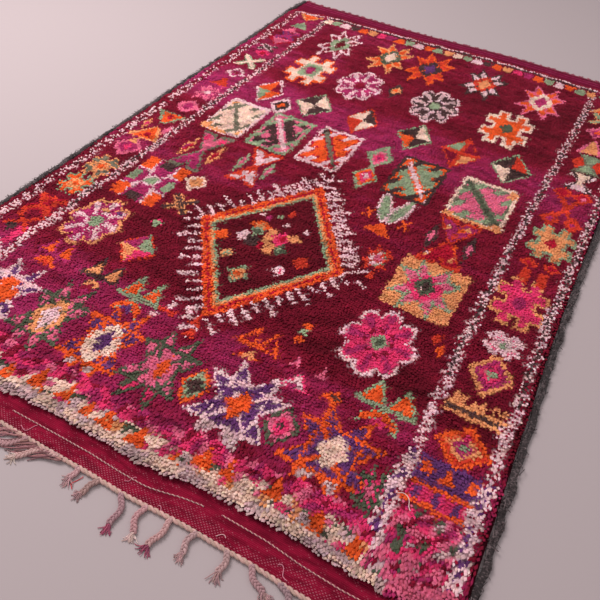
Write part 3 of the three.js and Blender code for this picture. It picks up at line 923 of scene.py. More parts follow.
# %% Ladders
LADDER_COLUMNS = ("y", "left outer", "left inner", "right inner", "right outer")
LADDERS = np.array([
    (-1300, -798, -662, 606, 794),
    (-900, -794, -658, 612, 790),
    (-600, -796, -652, 606, 790),
    (-300, -792, -646, 604, 786),
    (0, -790, -642, 608, 796),
    (300, -790, -636, 614, 802),
    (600, -786, -628, 624, 806),
    (900, -784, -626, 632, 808),
    (1200, -782, -622, 636, 806),
])
LADDER_HALF = 13
RUNG_SHIFT = 3  # how far every other dash stands over
CORE_HALF = 4.5  # half the dark line down a ladder's middle
LADDER_END = 1150
CORE_START = -640
DASH_CHANCE = 0.84  # how many knots of a dash are pale
CORE_CHANCE = 0.85  # how many knots of the core are dark
WIDE_END = -880  # on this side of it the right ladders are wider, with purple in them
between = np.interp(chart_y, (0, 300), (0.4, 0.12))  # how many knots between the dashes are pale too
for name in LADDER_COLUMNS[1:]:
    offset = chart_x - from_table(LADDERS, LADDER_COLUMNS, name, chart_y) - 3 * np.sin(chart_y / 37)
    offset += RUNG_SHIFT * (2 * (row // 2 % 2) - 1)
    stripe = (abs(offset) < LADDER_HALF) & (chart_y < LADDER_END)
    core = stripe & (abs(offset) < CORE_HALF) & (chart_y > CORE_START)
    paint(stripe, "wine")
    paint(stripe & (chance.random(knots) < np.where(rung, DASH_CHANCE, between)), "pale pink")
    paint(core & (chance.random(knots) < CORE_CHANCE), "dark wine" if name == "left outer" else "charcoal")
    if "right" in name:
        wide = (abs(offset) < LADDER_HALF + 5) & (chart_y < WIDE_END) & (rung | (chance.random(knots) < 0.7))
        paint(wide, "pale pink")
        mottle(wide & (abs(offset + 1) < 7), (0.06, 55, -0.2, "purple"))
print("ladders at", dict(zip(LADDER_COLUMNS, LADDERS[4])))

# %% [markdown]
# The teeth at the far end point up and down in turn. A tooth narrows with its own distance from the line.

# %% Far teeth
TEETH_START, TEETH_END = 24, 72  # how far from the far line the teeth lie, in millimetres
FAR_TEETH = ("cream", "sage", "pale pink", "charcoal", "orange", "peach", "hot pink", "magenta", "orange",
             "sage", "pale pink", "orange", "sage", "peach")
TOOTH_WIDTH = 46
far_line = np.interp(chart_x, (-800, -600, -150, 0, 250, 700), (1126, 1172, 1182, 1196, 1198, 1184))
in_field = (chart_x > -628) & (chart_x < 640)
down = far_line - chart_y
tooth_number = np.floor((chart_x + 640) / TOOTH_WIDTH).astype(int)
tooth_place = abs(((chart_x + 640) / TOOTH_WIDTH) % 1 - 0.5) * 2
for number, yarn in enumerate(FAR_TEETH):
    mine = in_field & (tooth_number % len(FAR_TEETH) == number)
    upward = number % 2 == 0
    size = (TEETH_END - down) / 50 if upward else (down - TEETH_START + 6) / 50
    paint(mine & (down > TEETH_START) & (down < TEETH_END) & (tooth_place < 1.15 - size * 0.55), yarn)
paint(in_field & (down > 3) & (down < 17), "charcoal")
paint((chart_x > -790) & (abs(down + 3) < 6) & (chance.random(knots) < CORE_CHANCE), "pale pink")
paint(down < -10, "wine")
print("far teeth", int(tooth_number[in_field].max()) + 1)

# %% [markdown]
# Apart from a row of orange peaks the near band has no drawing in it, only batches of wool that run into
# each other. Soft patches, each laid over the last, blend in the same way.

# %% Near band
NEAR_PEAKS = (
    (-640, 46, 26), (-560, 50, 28), (-470, 50, 30), (-400, 52, 24), (-330, 40, 24), (-250, 62, 26),
    (-165, 66, 24), (-92, 40, 26), (-38, 44, 30), (52, 48, 28), (158, 32, 24), (214, 66, 26), (274, 66, 18),
    (386, 74, 24), (500, 56, 26), (590, 54, 22),
)  # x, height above the pile's edge and half width of each orange peak, in millimetres
PINK_REACH, CREAM_REACH, RIM_REACH = 116, 72, 28  # how far the bands reach in from the pile's edge
MIX_START = 616  # right of this the near end is a mixture instead of bands
up = (seen_y - near_pile(nominal_x)) / MM
wander = 16 * drift(root_x, root_y * 0.3, 0.24, 9) + 8 * patches(0.07, 10)
pink_band = (up < PINK_REACH + wander) & (chart_x < MIX_START)
paint(pink_band, "hot pink")
bright_share = smooth_step(chart_x, -260, -60)  # the pink is brightest right of the middle
mottle(
    pink_band,
    (0.05, 11, 0.12 * bright_share, "magenta"),
    (0.045, 53, 0.2 + 0.28 * bright_share, "wine"),
    (0.06, 12, 0.52, "pink"),
)
mixture = (chart_x > MIX_START + 14) & (chart_y < -1016) & (chart_x < 776)
paint(mixture, "magenta")
mottle(
    mixture,
    (0.04, 42, -0.25, "hot pink"),
    (0.04, 43, 0.1, "pink"),
    (0.04, 44, 0.42, "dark green"),
    (0.04, 45, 0.75, "lilac"),
    (0.04, 46, 0.55, "wine"),
)
mottle((chart_x > MIX_START) & (chart_y < -1150), (0.05, 47, -0.1, "pink"))
cream_top = CREAM_REACH + wander * 0.8 + 10 * np.sin(chart_x / 41)
cream_band = (up < cream_top) & (chart_x < MIX_START)
paint(cream_band, "cream")
mottle(cream_band, (0.075, 13, 0.34, "lilac"))
mottle(cream_band & (up > 34), (0.05, 14, 0.6, "pink"))
mottle(cream_band & (up > 40), (0.04, 48, 0.72, "dark green"))
mottle(cream_band & (up > 26), (0.05, 52, 0.6, "peach"))
mottle(cream_band & (up > 20), (0.05, 54, 0.66, "hot pink"))
for place, level, half in NEAR_PEAKS:
    reach = half * (1 - (up - level + 24) / 60)
    paint((abs(chart_x - place) < reach) & (up > level - 24) & (up < level + 30), "orange")
    paint((abs(chart_x - place) < reach - 12) & (up > level - 2) & (up < level + 12), "peach")
rim_band = (up < RIM_REACH + wander * 0.3) & (chart_x < MIX_START + 60)
paint(rim_band, "cream")
mottle(rim_band, (0.09, 15, 0.1, "lilac"))
paint(rim_band & (up < 4), "lilac")
print("near band", int(pink_band.sum()), "knots")

# %% [markdown]
# ## Colour of every knot
# Ground knots mix dark wine, wine and magenta by their shade. All knots then vary a little in lightness and
# hue, as hand-spun wool takes dye unevenly, and whole runs of a row vary together, as they share a skein.
# Painted light and shade go on top: raised locks are lighter and the valleys between them darker, the far
# end is lighter and the pile near the near end darker.

# %% Knot colours
DEPTH_OF_DYE = 0.81  # how light the wool is against the palette
FIGURE_LIGHT = 1.16  # figures were dyed a little lighter than the ground
KNOT_SPREAD = 0.09  # how much single knots differ in lightness
HUE_SPREAD = 0.04  # how much yarns differ in each of red, green and blue
ground_stops = yarn_colours[[YARN_NUMBER[n] for n in ("dark wine", "wine", "magenta")]]
ground = np.stack([np.interp(shade, (0, 1, 2), ground_stops[:, c]) for c in range(3)], axis=1)
knot_colour = np.where((dye < 0)[:, None], ground, yarn_colours[dye] * FIGURE_LIGHT)
skein = 0.13 * drift(root_x * 0.25, root_y, 0.05, 16) + 0.08 * patches(0.16, 17)  # long runs, then patches
# painted light and shade: raised locks lighter, the valleys between them darker
painted_lock_shade = (0.09 + 0.09 * near_share) * locks
streak = 0.12 * drift(root_x * 0.15, root_y, 0.022, 51)
uneven = np.clip(1 + skein + painted_lock_shade + streak + KNOT_SPREAD * chance.standard_normal(knots), 0.5, 1.6)
# painted light: the far end is lifted lighter, and the pile near the near end is painted darker
lightness = DEPTH_OF_DYE * (1 + 0.12 * smooth_step(root_y, -0.2, 0.6)) * uneven
lightness *= rising(0.84, up, 50, 170)
tint = 1 + HUE_SPREAD * chance.standard_normal((knots, 3))
knot_colour = np.clip(knot_colour * lightness[:, None] * tint, 0, 1)
print("mean colour", knot_colour.mean(axis=0).round(3))

# %% [markdown]
# ## The tufts
# A tuft is a slim soft body: a pointed root, one ring of four points and a tip. Its middle line starts
# upright and bends over, and it is widest near its end, where the cut yarn opens. Wool scatters light, so a
# tuft never looks as hard as its form. We copy that by turning its normals up. All tufts are worked
# out in one go, and then split into five pieces from near to far.

# %% Tuft shape
TUFT_SIDES = 4
ROOT_SHARE, RING_SHARE = 0.1, 0.82  # how far up its middle line a tuft's root and its ring lie
tuft_width = chance.uniform(6, 9.5, knots) * MM
tuft_depth = chance.uniform(5.5, 8, knots) * MM
yaw = chance.normal(0, 0.5, knots) + 0.45 * patches(0.12, 18)
ROOT_HEIGHT = FLAT_WEAVE - 1 * MM
SOFTNESS = 1.5  # how strongly a tuft's normals turn up


def tuft_middle(share):
    """A tuft's middle line: it rises as 1 - (1 - s)^1.6 of its height and leans as s^1.7 of its lean."""
    rise = (height - ROOT_HEIGHT) * (1 - (1 - share) ** 1.6)
    bend = share ** 1.7
    return np.stack([root_x + lean_x * bend, root_y + lean_y * bend, ROOT_HEIGHT + rise], axis=1)


axis = tuft_middle(RING_SHARE + 0.05) - tuft_middle(RING_SHARE - 0.05)
axis /= np.linalg.norm(axis, axis=1, keepdims=True)
side = np.stack([np.cos(yaw), np.sin(yaw), np.zeros(knots)], axis=1)
side -= axis * (side * axis).sum(axis=1, keepdims=True)
side /= np.linalg.norm(side, axis=1, keepdims=True)
front = np.cross(axis, side)
corner = math.tau * np.arange(TUFT_SIDES) / TUFT_SIDES
wide = side[:, None] * (tuft_width[:, None] / 2 * np.cos(corner))[:, :, None]
deep = front[:, None] * (tuft_depth[:, None] / 2 * np.sin(corner))[:, :, None]
ring = tuft_middle(RING_SHARE)[:, None] + wide + deep
facing = side[:, None] * np.cos(corner)[:, None] + front[:, None] * np.sin(corner)[:, None]
root_point, tip_point = tuft_middle(ROOT_SHARE)[:, None], tuft_middle(1.0)[:, None]
tuft_points = np.concatenate([root_point, ring, tip_point], axis=1)
tuft_points[:, :, 2] = np.maximum(tuft_points[:, :, 2], FLAT_WEAVE * 0.5)
tuft_normals = np.concatenate([-axis[:, None], facing, axis[:, None]], axis=1) + np.array((0, 0, SOFTNESS))
tuft_normals /= np.linalg.norm(tuft_normals, axis=2, keepdims=True)
print("tuft points", tuft_points.shape)

# %% Tuft faces and their map
POINTS_A_TUFT = TUFT_SIDES + 2
TIP_SHARES = np.array([ROOT_SHARE] + [RING_SHARE] * TUFT_SIDES + [1.0])
RING_LEVEL = 0.6  # how high a tuft's ring lies in its map
CELL_FILL = 0.84  # how much of its cell a tuft's map fills
here = 1 + np.arange(TUFT_SIDES)
beyond = np.roll(here, -1)
stem_faces = np.stack([beyond, here, np.zeros(TUFT_SIDES, int)], axis=1)
tip_faces = np.stack([here, beyond, np.full(TUFT_SIDES, TUFT_SIDES + 1)], axis=1)
side_start = np.arange(TUFT_SIDES) / TUFT_SIDES
side_end = side_start + 1 / TUFT_SIDES


def side_map(first, second, level):
    """The map of each side's triangle: two corners at the ring's level, and one half way at this level."""
    corners = np.broadcast_arrays(first, RING_LEVEL, second, RING_LEVEL, (side_start + side_end) / 2, level)
    return np.stack(corners, axis=1)


def unroll(template, count):
    """A tuft's template map, moved into each tuft's own cell of a square sheet of cells."""
    cells = math.ceil(math.sqrt(count))
    number = np.arange(count)
    cell = np.stack([number % cells, number // cells], axis=1)
    uv = template.reshape(-1, 2) * CELL_FILL + (1 - CELL_FILL) / 2
    return ((cell[:, None, :] + uv[None]) / cells).reshape(-1, 2)


def pile_piece(name, chosen):
    """One piece of pile from the chosen knots, with its colours, root-to-tip shares and map."""
    count = int(chosen.sum())
    faces = repeated((stem_faces, tip_faces), count, POINTS_A_TUFT)
    piece = make_mesh(name, tuft_points[chosen].reshape(-1, 3), *faces)
    store(piece, "yarn", np.repeat(knot_colour[chosen], POINTS_A_TUFT, axis=0))
    # the root-to-tip share, which the pile's material turns into painted shade towards the root
    store(piece, "tip", np.tile(TIP_SHARES, count))
    sheet = piece.data.uv_layers.new(name="OFBake", do_init=False)
    maps = side_map(side_end, side_start, 0.0), side_map(side_start, side_end, 1.0)
    places = np.concatenate([unroll(template, count) for template in maps])
    sheet.data.foreach_set("uv", places.astype(np.float32).ravel())
    piece.data.normals_split_custom_set_from_vertices(tuft_normals[chosen].reshape(-1, 3))
    return piece


PILE_PIECES = 5
pile_part = row * PILE_PIECES // row_count
pile = [pile_piece(f"pile_{n + 1}", pile_part == n) for n in range(PILE_PIECES)]
print("pile", sum(triangles(p) for p in pile), "triangles")

# %% [markdown]
# ## The wool between the tufts
# One never sees down to the cloth between tufts, because their loose fibres fill the gaps. A closed blanket
# stands for those fibres. It runs through every second tuft of every second row, six tenths of the way up,
# has the tuft's colour there, and comes down to the cloth at the rim.

# %% Wool between the tufts
BED_SHARE = 0.6
BED_RIM = 16 * MM
HEM_DROP = 1 * MM
rim_distance = np.minimum(np.minimum(from_near, from_far), from_side)
bed_points = tuft_middle(BED_SHARE * smooth_step(rim_distance, 4 * MM, BED_RIM))
every_second_row = np.append(np.arange(0, row_count - 1, 2), row_count - 1)
every_second_column = np.append(np.arange(0, column_count - 1, 2), column_count - 1)
bed_knots = np.arange(knots).reshape(row_count, column_count)[np.ix_(every_second_row, every_second_column)]
bed_points = bed_points[bed_knots.ravel()]
bed_colour = knot_colour[bed_knots.ravel()]
bed_grid = np.arange(bed_knots.size).reshape(bed_knots.shape)


def blanket_faces(grid):
    """The squares of a grid of points, seen from above, and the ring of points round it."""
    squares = np.stack([grid[:-1, :-1], grid[:-1, 1:], grid[1:, 1:], grid[1:, :-1]], axis=-1).reshape(-1, 4)
    ring = np.concatenate([grid[0, :-1], grid[:-1, -1], grid[-1, :0:-1], grid[:0:-1, 0]])
    return squares, ring


bed_top, bed_ring = blanket_faces(bed_grid)
hem = np.arange(len(bed_ring)) + bed_grid.size
hem_points = bed_points[bed_ring] - np.array((0, 0, HEM_DROP))
hem_walls = np.stack([hem, np.roll(hem, -1), np.roll(bed_ring, -1), bed_ring], axis=1)
blanket = make_mesh("pile_bed", np.concatenate([bed_points, hem_points]), bed_top, hem_walls, hem[::-1][None])
store(blanket, "yarn", np.concatenate([bed_colour, bed_colour[bed_ring]]))
# a share of one half, so the blanket carries the painted shade of a tuft's middle
store(blanket, "tip", np.full(bed_grid.size + len(hem), 0.5))
print("blanket", triangles(blanket), "triangles")

# %% [markdown]
# ## The woven cloth
# Under the pile runs one cloth. It is a thin closed slab: a grid of points on top, the same grid at the
# bottom and a wall round the edge. It is thicker where knots fill it. Two numbers go with each point, the
# distance to the nearer end and which end that is, so that woven stripes can follow the crooked edges. A
# third marks where the pile covers the cloth, which is painted near-black there as painted shade.

# %% Cloth
CLOTH_COLUMNS = 65
CLOTH_ROWS = 101
KNOT_BED = 4 * MM  # how much the rows of knots thicken the cloth
RIPPLE = 0.35 * MM
SUNK = 0.4 * MM  # how far the cloth's top lies below its full thickness, so that ripples stay within it

s, t = np.meshgrid(np.linspace(0, 1, CLOTH_COLUMNS), np.linspace(0, 1, CLOTH_ROWS))
end_bias = 0.5 - 0.5 * np.cos(math.pi * t.ravel())
flat_x = (s.ravel() - 0.5) * CLOTH_WIDTH
cloth_y = near_edge(flat_x) + end_bias * (far_edge(flat_x) - near_edge(flat_x))
cloth_x = left_side(cloth_y) + s.ravel() * (right_side(cloth_y) - left_side(cloth_y))
into_pile = np.minimum(cloth_y - near_pile(flat_x), far_pile(flat_x) - cloth_y)
bed = KNOT_BED * smooth_step(into_pile, -2 * MM, 10 * MM)
ripple = RIPPLE * drift(cloth_x, cloth_y, 0.09, 21)
cloth_top = np.stack([cloth_x, cloth_y, FLAT_WEAVE + bed + ripple - SUNK], axis=1)
cloth_bottom = np.stack([cloth_x, cloth_y, np.zeros_like(cloth_x)], axis=1)
grid = np.arange(CLOTH_ROWS * CLOTH_COLUMNS).reshape(CLOTH_ROWS, CLOTH_COLUMNS)
top_faces, rim = blanket_faces(grid)
bottom_faces = top_faces[:, ::-1] + grid.size
rim_next = np.roll(rim, -1)
rim_faces = np.stack([rim + grid.size, rim_next + grid.size, rim_next, rim], axis=1)
cloth_points = np.concatenate([cloth_top, cloth_bottom])
cloth = make_mesh("woven_cloth", cloth_points, top_faces, bottom_faces, rim_faces)
end_distance = np.minimum(cloth_y - near_edge(flat_x), far_edge(flat_x) - cloth_y)
store(cloth, "from_end", np.tile(end_distance, 2))
store(cloth, "far_end", np.tile((cloth_y > 0).astype(float), 2))
# under_pile marks where the pile covers the cloth; the weave is painted near-black there as painted shade
store(cloth, "under_pile", np.tile(smooth_step(into_pile, -3 * MM, 5 * MM), 2))
print("cloth", triangles(cloth), "triangles")

# %% [markdown]
# ## Yarn as tubes
# Cord, plaits, brushes and loose threads are all tubes along a path. `yarn_tubes` takes many paths at once.
# At each station it needs a direction across the path and one above it. A yarn here never runs straight up,
# so the path's direction crossed with "up" always gives a good one.

# %% Tube helper
PALE_WARP = (206, 176, 170)
CORD_PINK = (206, 164, 156)
DUSTY_PINK = (184, 142, 144)
DEEP_PINK = (156, 76, 100)
FAR_WINE = (150, 62, 84)


def tube_faces(rings, start, end):
    """The faces of a tube: walls from ring to ring of point numbers, and caps to a start and an end point."""
    after = np.roll(rings, -1, axis=1)
    walls = np.stack([rings[:-1], after[:-1], after[1:], rings[1:]], axis=-1).reshape(-1, 4)
    start_cap = np.stack([np.full_like(rings[0], start), after[0], rings[0]], axis=1)
    end_cap = np.stack([rings[-1], after[-1], np.full_like(rings[0], end)], axis=1)
    return walls, start_cap, end_cap


def yarn_tubes(name, paths, radii, sides, colours):
    """One piece of many tubes. paths is tubes x stations x 3, radii is one number or tubes x stations, and
    colours is one row for each tube. Each end closes in a point that stands half a radius out."""
    paths = np.asarray(paths)
    count, stations = paths.shape[:2]
    radii = np.broadcast_to(radii, (count, stations))
    ahead = np.gradient(paths, axis=1)
    ahead /= np.linalg.norm(ahead, axis=2, keepdims=True)
    side = np.cross(ahead, (0.0, 0.0, 1.0))
    side /= np.linalg.norm(side, axis=2, keepdims=True)
    above = np.cross(ahead, side)
    angle = math.tau * np.arange(sides) / sides
    ring = side[:, :, None] * np.cos(angle)[:, None] + above[:, :, None] * np.sin(angle)[:, None]
    ring = paths[:, :, None] + ring * radii[:, :, None, None]
    start = paths[:, :1] - ahead[:, :1] * radii[:, :1, None] / 2
    end = paths[:, -1:] + ahead[:, -1:] * radii[:, -1:, None] / 2
    points = np.concatenate([start, ring.reshape(count, -1, 3), end], axis=1)
    per_tube = points.shape[1]
    rings = 1 + np.arange(stations * sides).reshape(stations, sides)
    faces = repeated(tube_faces(rings, 0, per_tube - 1), count, per_tube)
    piece = make_mesh(name, points.reshape(-1, 3), *faces)
    store(piece, "yarn", np.repeat(colours, per_tube, axis=0))
    return piece


def shades(base, count, spread=0.14):
    """One colour for each of several yarns: the base, a little lighter or darker and of another hue."""
    lightness = 1 + spread * chance.standard_normal((count, 1))
    hue = 1 + HUE_SPREAD * chance.standard_normal((count, 3))
    return np.clip(linear(base) * lightness * hue, 0, 1)


def steered(bearing, share, length):
    """How far a line comes across and out along these bearings: the running sums of their sine and cosine."""
    step = np.diff(share, prepend=share[0]) * length
    return np.cumsum(np.sin(bearing) * step), np.cumsum(np.cos(bearing) * step)


print("yarn helpers ready")

# %% [markdown]
# ## The near cord
# Two plies twist round each other along the whole near edge. Each ply is a helix that is squashed to lie
# flat, half a turn away from the other.

# %% Near cord
CORD_RADIUS = 5.2 * MM
CORD_GAP = 0.5 * MM
CORD_MIDDLE = 5.2 * MM
PLY_RADIUS = 3.3 * MM
PLY_SWING = 2.6 * MM
PLY_TURN = 27 * MM


def twisted(x, y, z, plies, swing, turn, squash):
    """The paths of plies that wind round a middle line: each stands at swing from it, and turns once in
    every turn of x."""
    angle = math.tau * x / turn
    paths = []
    for ply in range(plies):
        a = angle + math.tau * ply / plies
        paths.append(np.stack([x, y + swing * np.cos(a), z + swing * squash * np.sin(a)], axis=1))
    return np.stack(paths)


cord_x = np.linspace(-CLOTH_WIDTH / 2 + 2 * MM, CLOTH_WIDTH / 2 - 2 * MM, 620)
cord_y = near_edge(cord_x) - CORD_RADIUS - CORD_GAP + 0.8 * MM * np.sin(cord_x / 0.06)
cord_paths = twisted(cord_x, cord_y, np.full_like(cord_x, CORD_MIDDLE), 2, PLY_SWING, PLY_TURN, 0.6)
cord_radii = PLY_RADIUS * (1 + 0.07 * np.sin(np.tile(cord_x, (2, 1)) / 0.013 + [[0.0], [2.0]]))
near_cord = yarn_tubes("near_cord", cord_paths, cord_radii, 7, shades(CORD_PINK, 2, 0.1))
print("cord", triangles(near_cord), "triangles")

# %% [markdown]
# ## The tassels
# The warps beyond the cord are plaited in threes, and their ends fan out as a brush. The table gives each
# tassel's place, how long its plait is, where it points, measured from straight out, and how it curls.

# %% Tassel table
TASSELS = (  # x and the plait's length in millimetres, then heading and bend in degrees
    (-786, 62, -14, 22),
    (-702, 70, -26, -14),
    (-618, 58, 10, 18),
    (-536, 66, -20, 12),
    (-452, 74, -34, -16),
    (-352, 86, -52, -10),
    (-258, 92, -56, 8),
    (-160, 96, -60, 6),
    (-72, 98, -62, 10),
    (-14, 30, -8, 12),
    (44, 46, -6, -46),
    (104, 76, 22, -18),
    (168, 66, 6, 16),
    (230, 74, -22, 58),
    (292, 52, -2, 2),
    (368, 50, 4, 14),
    (424, 62, 58, -18),
    (492, 60, 48, -12),
    (572, 68, 30, -10),
    (654, 60, 12, 18),
    (738, 66, -10, 14),
    (800, 56, 8, -16),
)
print(len(TASSELS), "tassels")

# %% [markdown]
# Three strands of a plait each swing from side to side once a turn and up and down twice, a third of a turn
# apart. That figure of eight is what makes them pass over and under one another.

# %% Plaits
STRAND_RADIUS = 3.5 * MM
STRAND_SWING = 4.1 * MM
STRAND_RISE = 1.9 * MM
PLAIT_TURN = 25 * MM
PLAIT_MIDDLE = 6.0 * MM
PLAIT_STATIONS = 44
BRUSH_YARNS = 26
BRUSH_STATIONS = 7
BRUSH_HALF = 4.2 * MM  # how far from a plait's middle the yarns of its brush start
BRUSH_DYES = (PALE_WARP, DUSTY_PINK, DUSTY_PINK, DEEP_PINK)
TASSEL_SWAY = 26  # degrees by which a plait swings to one side and back, each the other way than the last
share = np.linspace(0, 1, PLAIT_STATIONS)
out = np.linspace(0, 1, BRUSH_STATIONS)
slim = 1 - 0.16 * share
swing = STRAND_SWING * (1 + 0.35 * share ** 3) * smooth_step(share, -0.1, 0.08)
plait_paths, plait_radii, brush_paths, brush_radii = [], [], [], []
for number, (tassel_x, plait, heading_out, bend) in enumerate(TASSELS):
    sway = TASSEL_SWAY * (2 * (number % 2) - 1)
    turned = np.radians(heading_out + bend * share / 2 + sway * np.sin(math.tau * share))
    aside, outward = steered(turned, share, plait * MM)
    line_x = tassel_x * MM + aside
    line_y = near_edge(tassel_x * MM) - CORD_RADIUS - outward
    phase = math.tau * share * plait * MM / PLAIT_TURN + chance.uniform(0, math.tau)
    for strand in range(3):
        a = phase + math.tau * strand / 3
        off = swing * np.sin(a)
        lift = PLAIT_MIDDLE * slim + STRAND_RISE * np.sin(2 * a)
        plait_paths.append(np.stack(
            [line_x + off * np.cos(turned), line_y + off * np.sin(turned), lift], axis=1))
        plait_radii.append(STRAND_RADIUS * slim * (0.94 + 0.10 * np.cos(a)))
    for yarn in range(BRUSH_YARNS):
        spread = math.radians(chance.normal(0, 23))
        length = chance.uniform(9, 27) * MM
        curl = chance.normal(0, 0.55)
        begin = chance.uniform(-1, 1) * BRUSH_HALF
        bearing = turned[-1] + spread + curl * out + chance.normal(0, 0.22) * np.sin(out * 7)
        aside, outward = steered(bearing, out, length)
        x = line_x[-1] + begin * math.cos(turned[-1]) + aside
        y = line_y[-1] + begin * math.sin(turned[-1]) - outward
        from_height = chance.uniform(2.6, 7.0) * MM
        to_height = chance.uniform(1.1, 3.0) * MM
        z = from_height + (to_height - from_height) * smooth_step(out, 0, 0.8)
        brush_paths.append(np.stack([x, y, z], axis=1))
        brush_radii.append(np.linspace(1.35, 0.8, BRUSH_STATIONS) * MM)

strand_shades = np.repeat(shades(DUSTY_PINK, len(TASSELS), 0.08), 3, axis=0)
strand_shades *= 1 + 0.07 * chance.standard_normal((len(strand_shades), 1))
plaits = yarn_tubes("tassel_plaits", plait_paths, plait_radii, 7, strand_shades)
brush_shades = np.concatenate([
    shades(BRUSH_DYES[chance.integers(len(BRUSH_DYES))], BRUSH_YARNS, 0.2) for _ in TASSELS])
print("plaits", triangles(plaits), "triangles")

# %% [markdown]
# Left of the middle some warps were never plaited. They lie as a bunch that is swept to the left, and they
# join the brushes in one piece, as they are the same kind of yarn.

# %% Unplaited warps
BUNCH_YARNS = 64
BUNCH_RANGE = (-0.30, -0.05)
BUNCH_MAUVE = (160, 112, 114)
for x in chance.uniform(*BUNCH_RANGE, BUNCH_YARNS):
    bearing = math.radians(chance.normal(-68, 8)) + 0.3 * np.sin(math.pi * out + chance.uniform(0, math.tau))
    aside, outward = steered(bearing, out, chance.uniform(45, 95) * MM)
    y = near_edge(x) - chance.uniform(1.2, 3.0) * CORD_RADIUS - outward
    z = chance.uniform(2.4, 8) * MM * (1 - out) + 2 * MM
    brush_paths.append(np.stack([x + aside, y, z], axis=1))
    brush_radii.append(np.linspace(1.9, 1.3, BRUSH_STATIONS) * MM)
brush_shades = np.concatenate([brush_shades, shades(BUNCH_MAUVE, BUNCH_YARNS, 0.22)])
brushes = yarn_tubes("tassel_brushes", brush_paths, brush_radii, 5, brush_shades)
print("brushes", triangles(brushes), "triangles")

# %% [markdown]
# ## The twined line
# On the near band lies one line of twining, a pale and a red ply that lock the weave. It wanders away from
# the cord to the right, and it was broken off and started again once.

# %% Twined line
TWINING = (
    ((-0.246, -1.2615), (-0.130, -1.2605), (-0.020, -1.2600), (0.068, -1.2640), (0.136, -1.2640),
     (0.170, -1.2580), (0.221, -1.2460), (0.272, -1.2390)),
    ((0.315, -1.2370), (0.425, -1.2390), (0.510, -1.2480), (0.600, -1.2520), (0.700, -1.2500),
     (0.790, -1.2480)),
)
TWINE_TURN = 11 * MM
TWINE_STATIONS = 260
TWINE_EASE = 13  # stations over which the line's corners are rounded
twine_paths = []
for stretch in TWINING:
    known_x, known_y = np.array(stretch).T
    x = np.linspace(known_x[0], known_x[-1], TWINE_STATIONS)
    y = np.pad(np.interp(x, known_x, known_y), TWINE_EASE // 2, mode="edge")
    y = np.convolve(y, np.full(TWINE_EASE, 1 / TWINE_EASE), mode="valid")
    twine_paths.append(twisted(x, y, np.full_like(x, FLAT_WEAVE + 0.5 * MM), 2, 0.9 * MM, TWINE_TURN, 0.8))
twine_paths = np.concatenate(twine_paths)
twine_shades = np.concatenate([shades(dye, 1, 0.04) for _ in TWINING for dye in (CORD_PINK, DEEP_PINK)])
twining = yarn_tubes("twined_line", twine_paths, 0.95 * MM, 5, twine_shades)
print("twining", triangles(twining), "triangles")

# %% [markdown]
# ## The selvedges
# Goat hair is wound round the outer warps on both sides. The roll is an ellipse that is swollen by each
# turn of the hair, and the turns slant, so the swelling is a wave in the angle plus the length.

# %% Selvedges
SELVEDGE_HALF = 9.5 * MM
SELVEDGE_TALL = 4.9 * MM
SELVEDGE_SIDES = 14
SELVEDGE_STATIONS = 761
HAIR_TURN = 11 * MM
SELVEDGE_WANDER = 2.8 * MM


def selvedge(name, side):
    """A closed roll along one side. With a the angle round it, its size swells as
    0.93 + 0.07 sin(2a - 2 pi y / turn), and two slower waves make it uneven."""
    reach = RUG_LENGTH / 2 - 6 * MM
    y = np.linspace(-reach, reach, SELVEDGE_STATIONS)[:, None]
    edge = right_side(y) + SELVEDGE_HALF if side > 0 else left_side(y) - SELVEDGE_HALF
    edge = edge + side * SELVEDGE_WANDER * (drift(y, np.full_like(y, side), 0.075, 24) + 0.5)
    a = math.tau * np.arange(SELVEDGE_SIDES) / SELVEDGE_SIDES
    slow = 1 + 0.06 * drift(y, np.full_like(y, 0.3 * side), 0.13, 22)
    slow = slow + 0.10 * drift(y, np.full_like(y, side), 0.035, 23)
    swell = slow * (0.93 + 0.07 * np.sin(2 * a - math.tau * y / HAIR_TURN))
    x = edge - SELVEDGE_HALF * swell * np.cos(a)
    z = np.maximum(SELVEDGE_TALL * (1 + swell * np.sin(a)), 0.1 * MM)
    points = np.stack([x, np.broadcast_to(y, x.shape), z], axis=-1).reshape(-1, 3)
    middles = [(edge[k, 0], y[k, 0] + tip, SELVEDGE_TALL) for k, tip in ((0, -3 * MM), (-1, 3 * MM))]
    faces = tube_faces(np.arange(x.size).reshape(x.shape), x.size, x.size + 1)
    return make_mesh(name, np.concatenate([points, middles]), *faces)


selvedges = [selvedge("selvedge_wrap_left", -1), selvedge("selvedge_wrap_right", 1)]
print("selvedges", sum(triangles(p) for p in selvedges), "triangles")

# %% [markdown]
# Stray hairs stand out of the wrapping. Each is a short thin yarn that starts inside the roll.

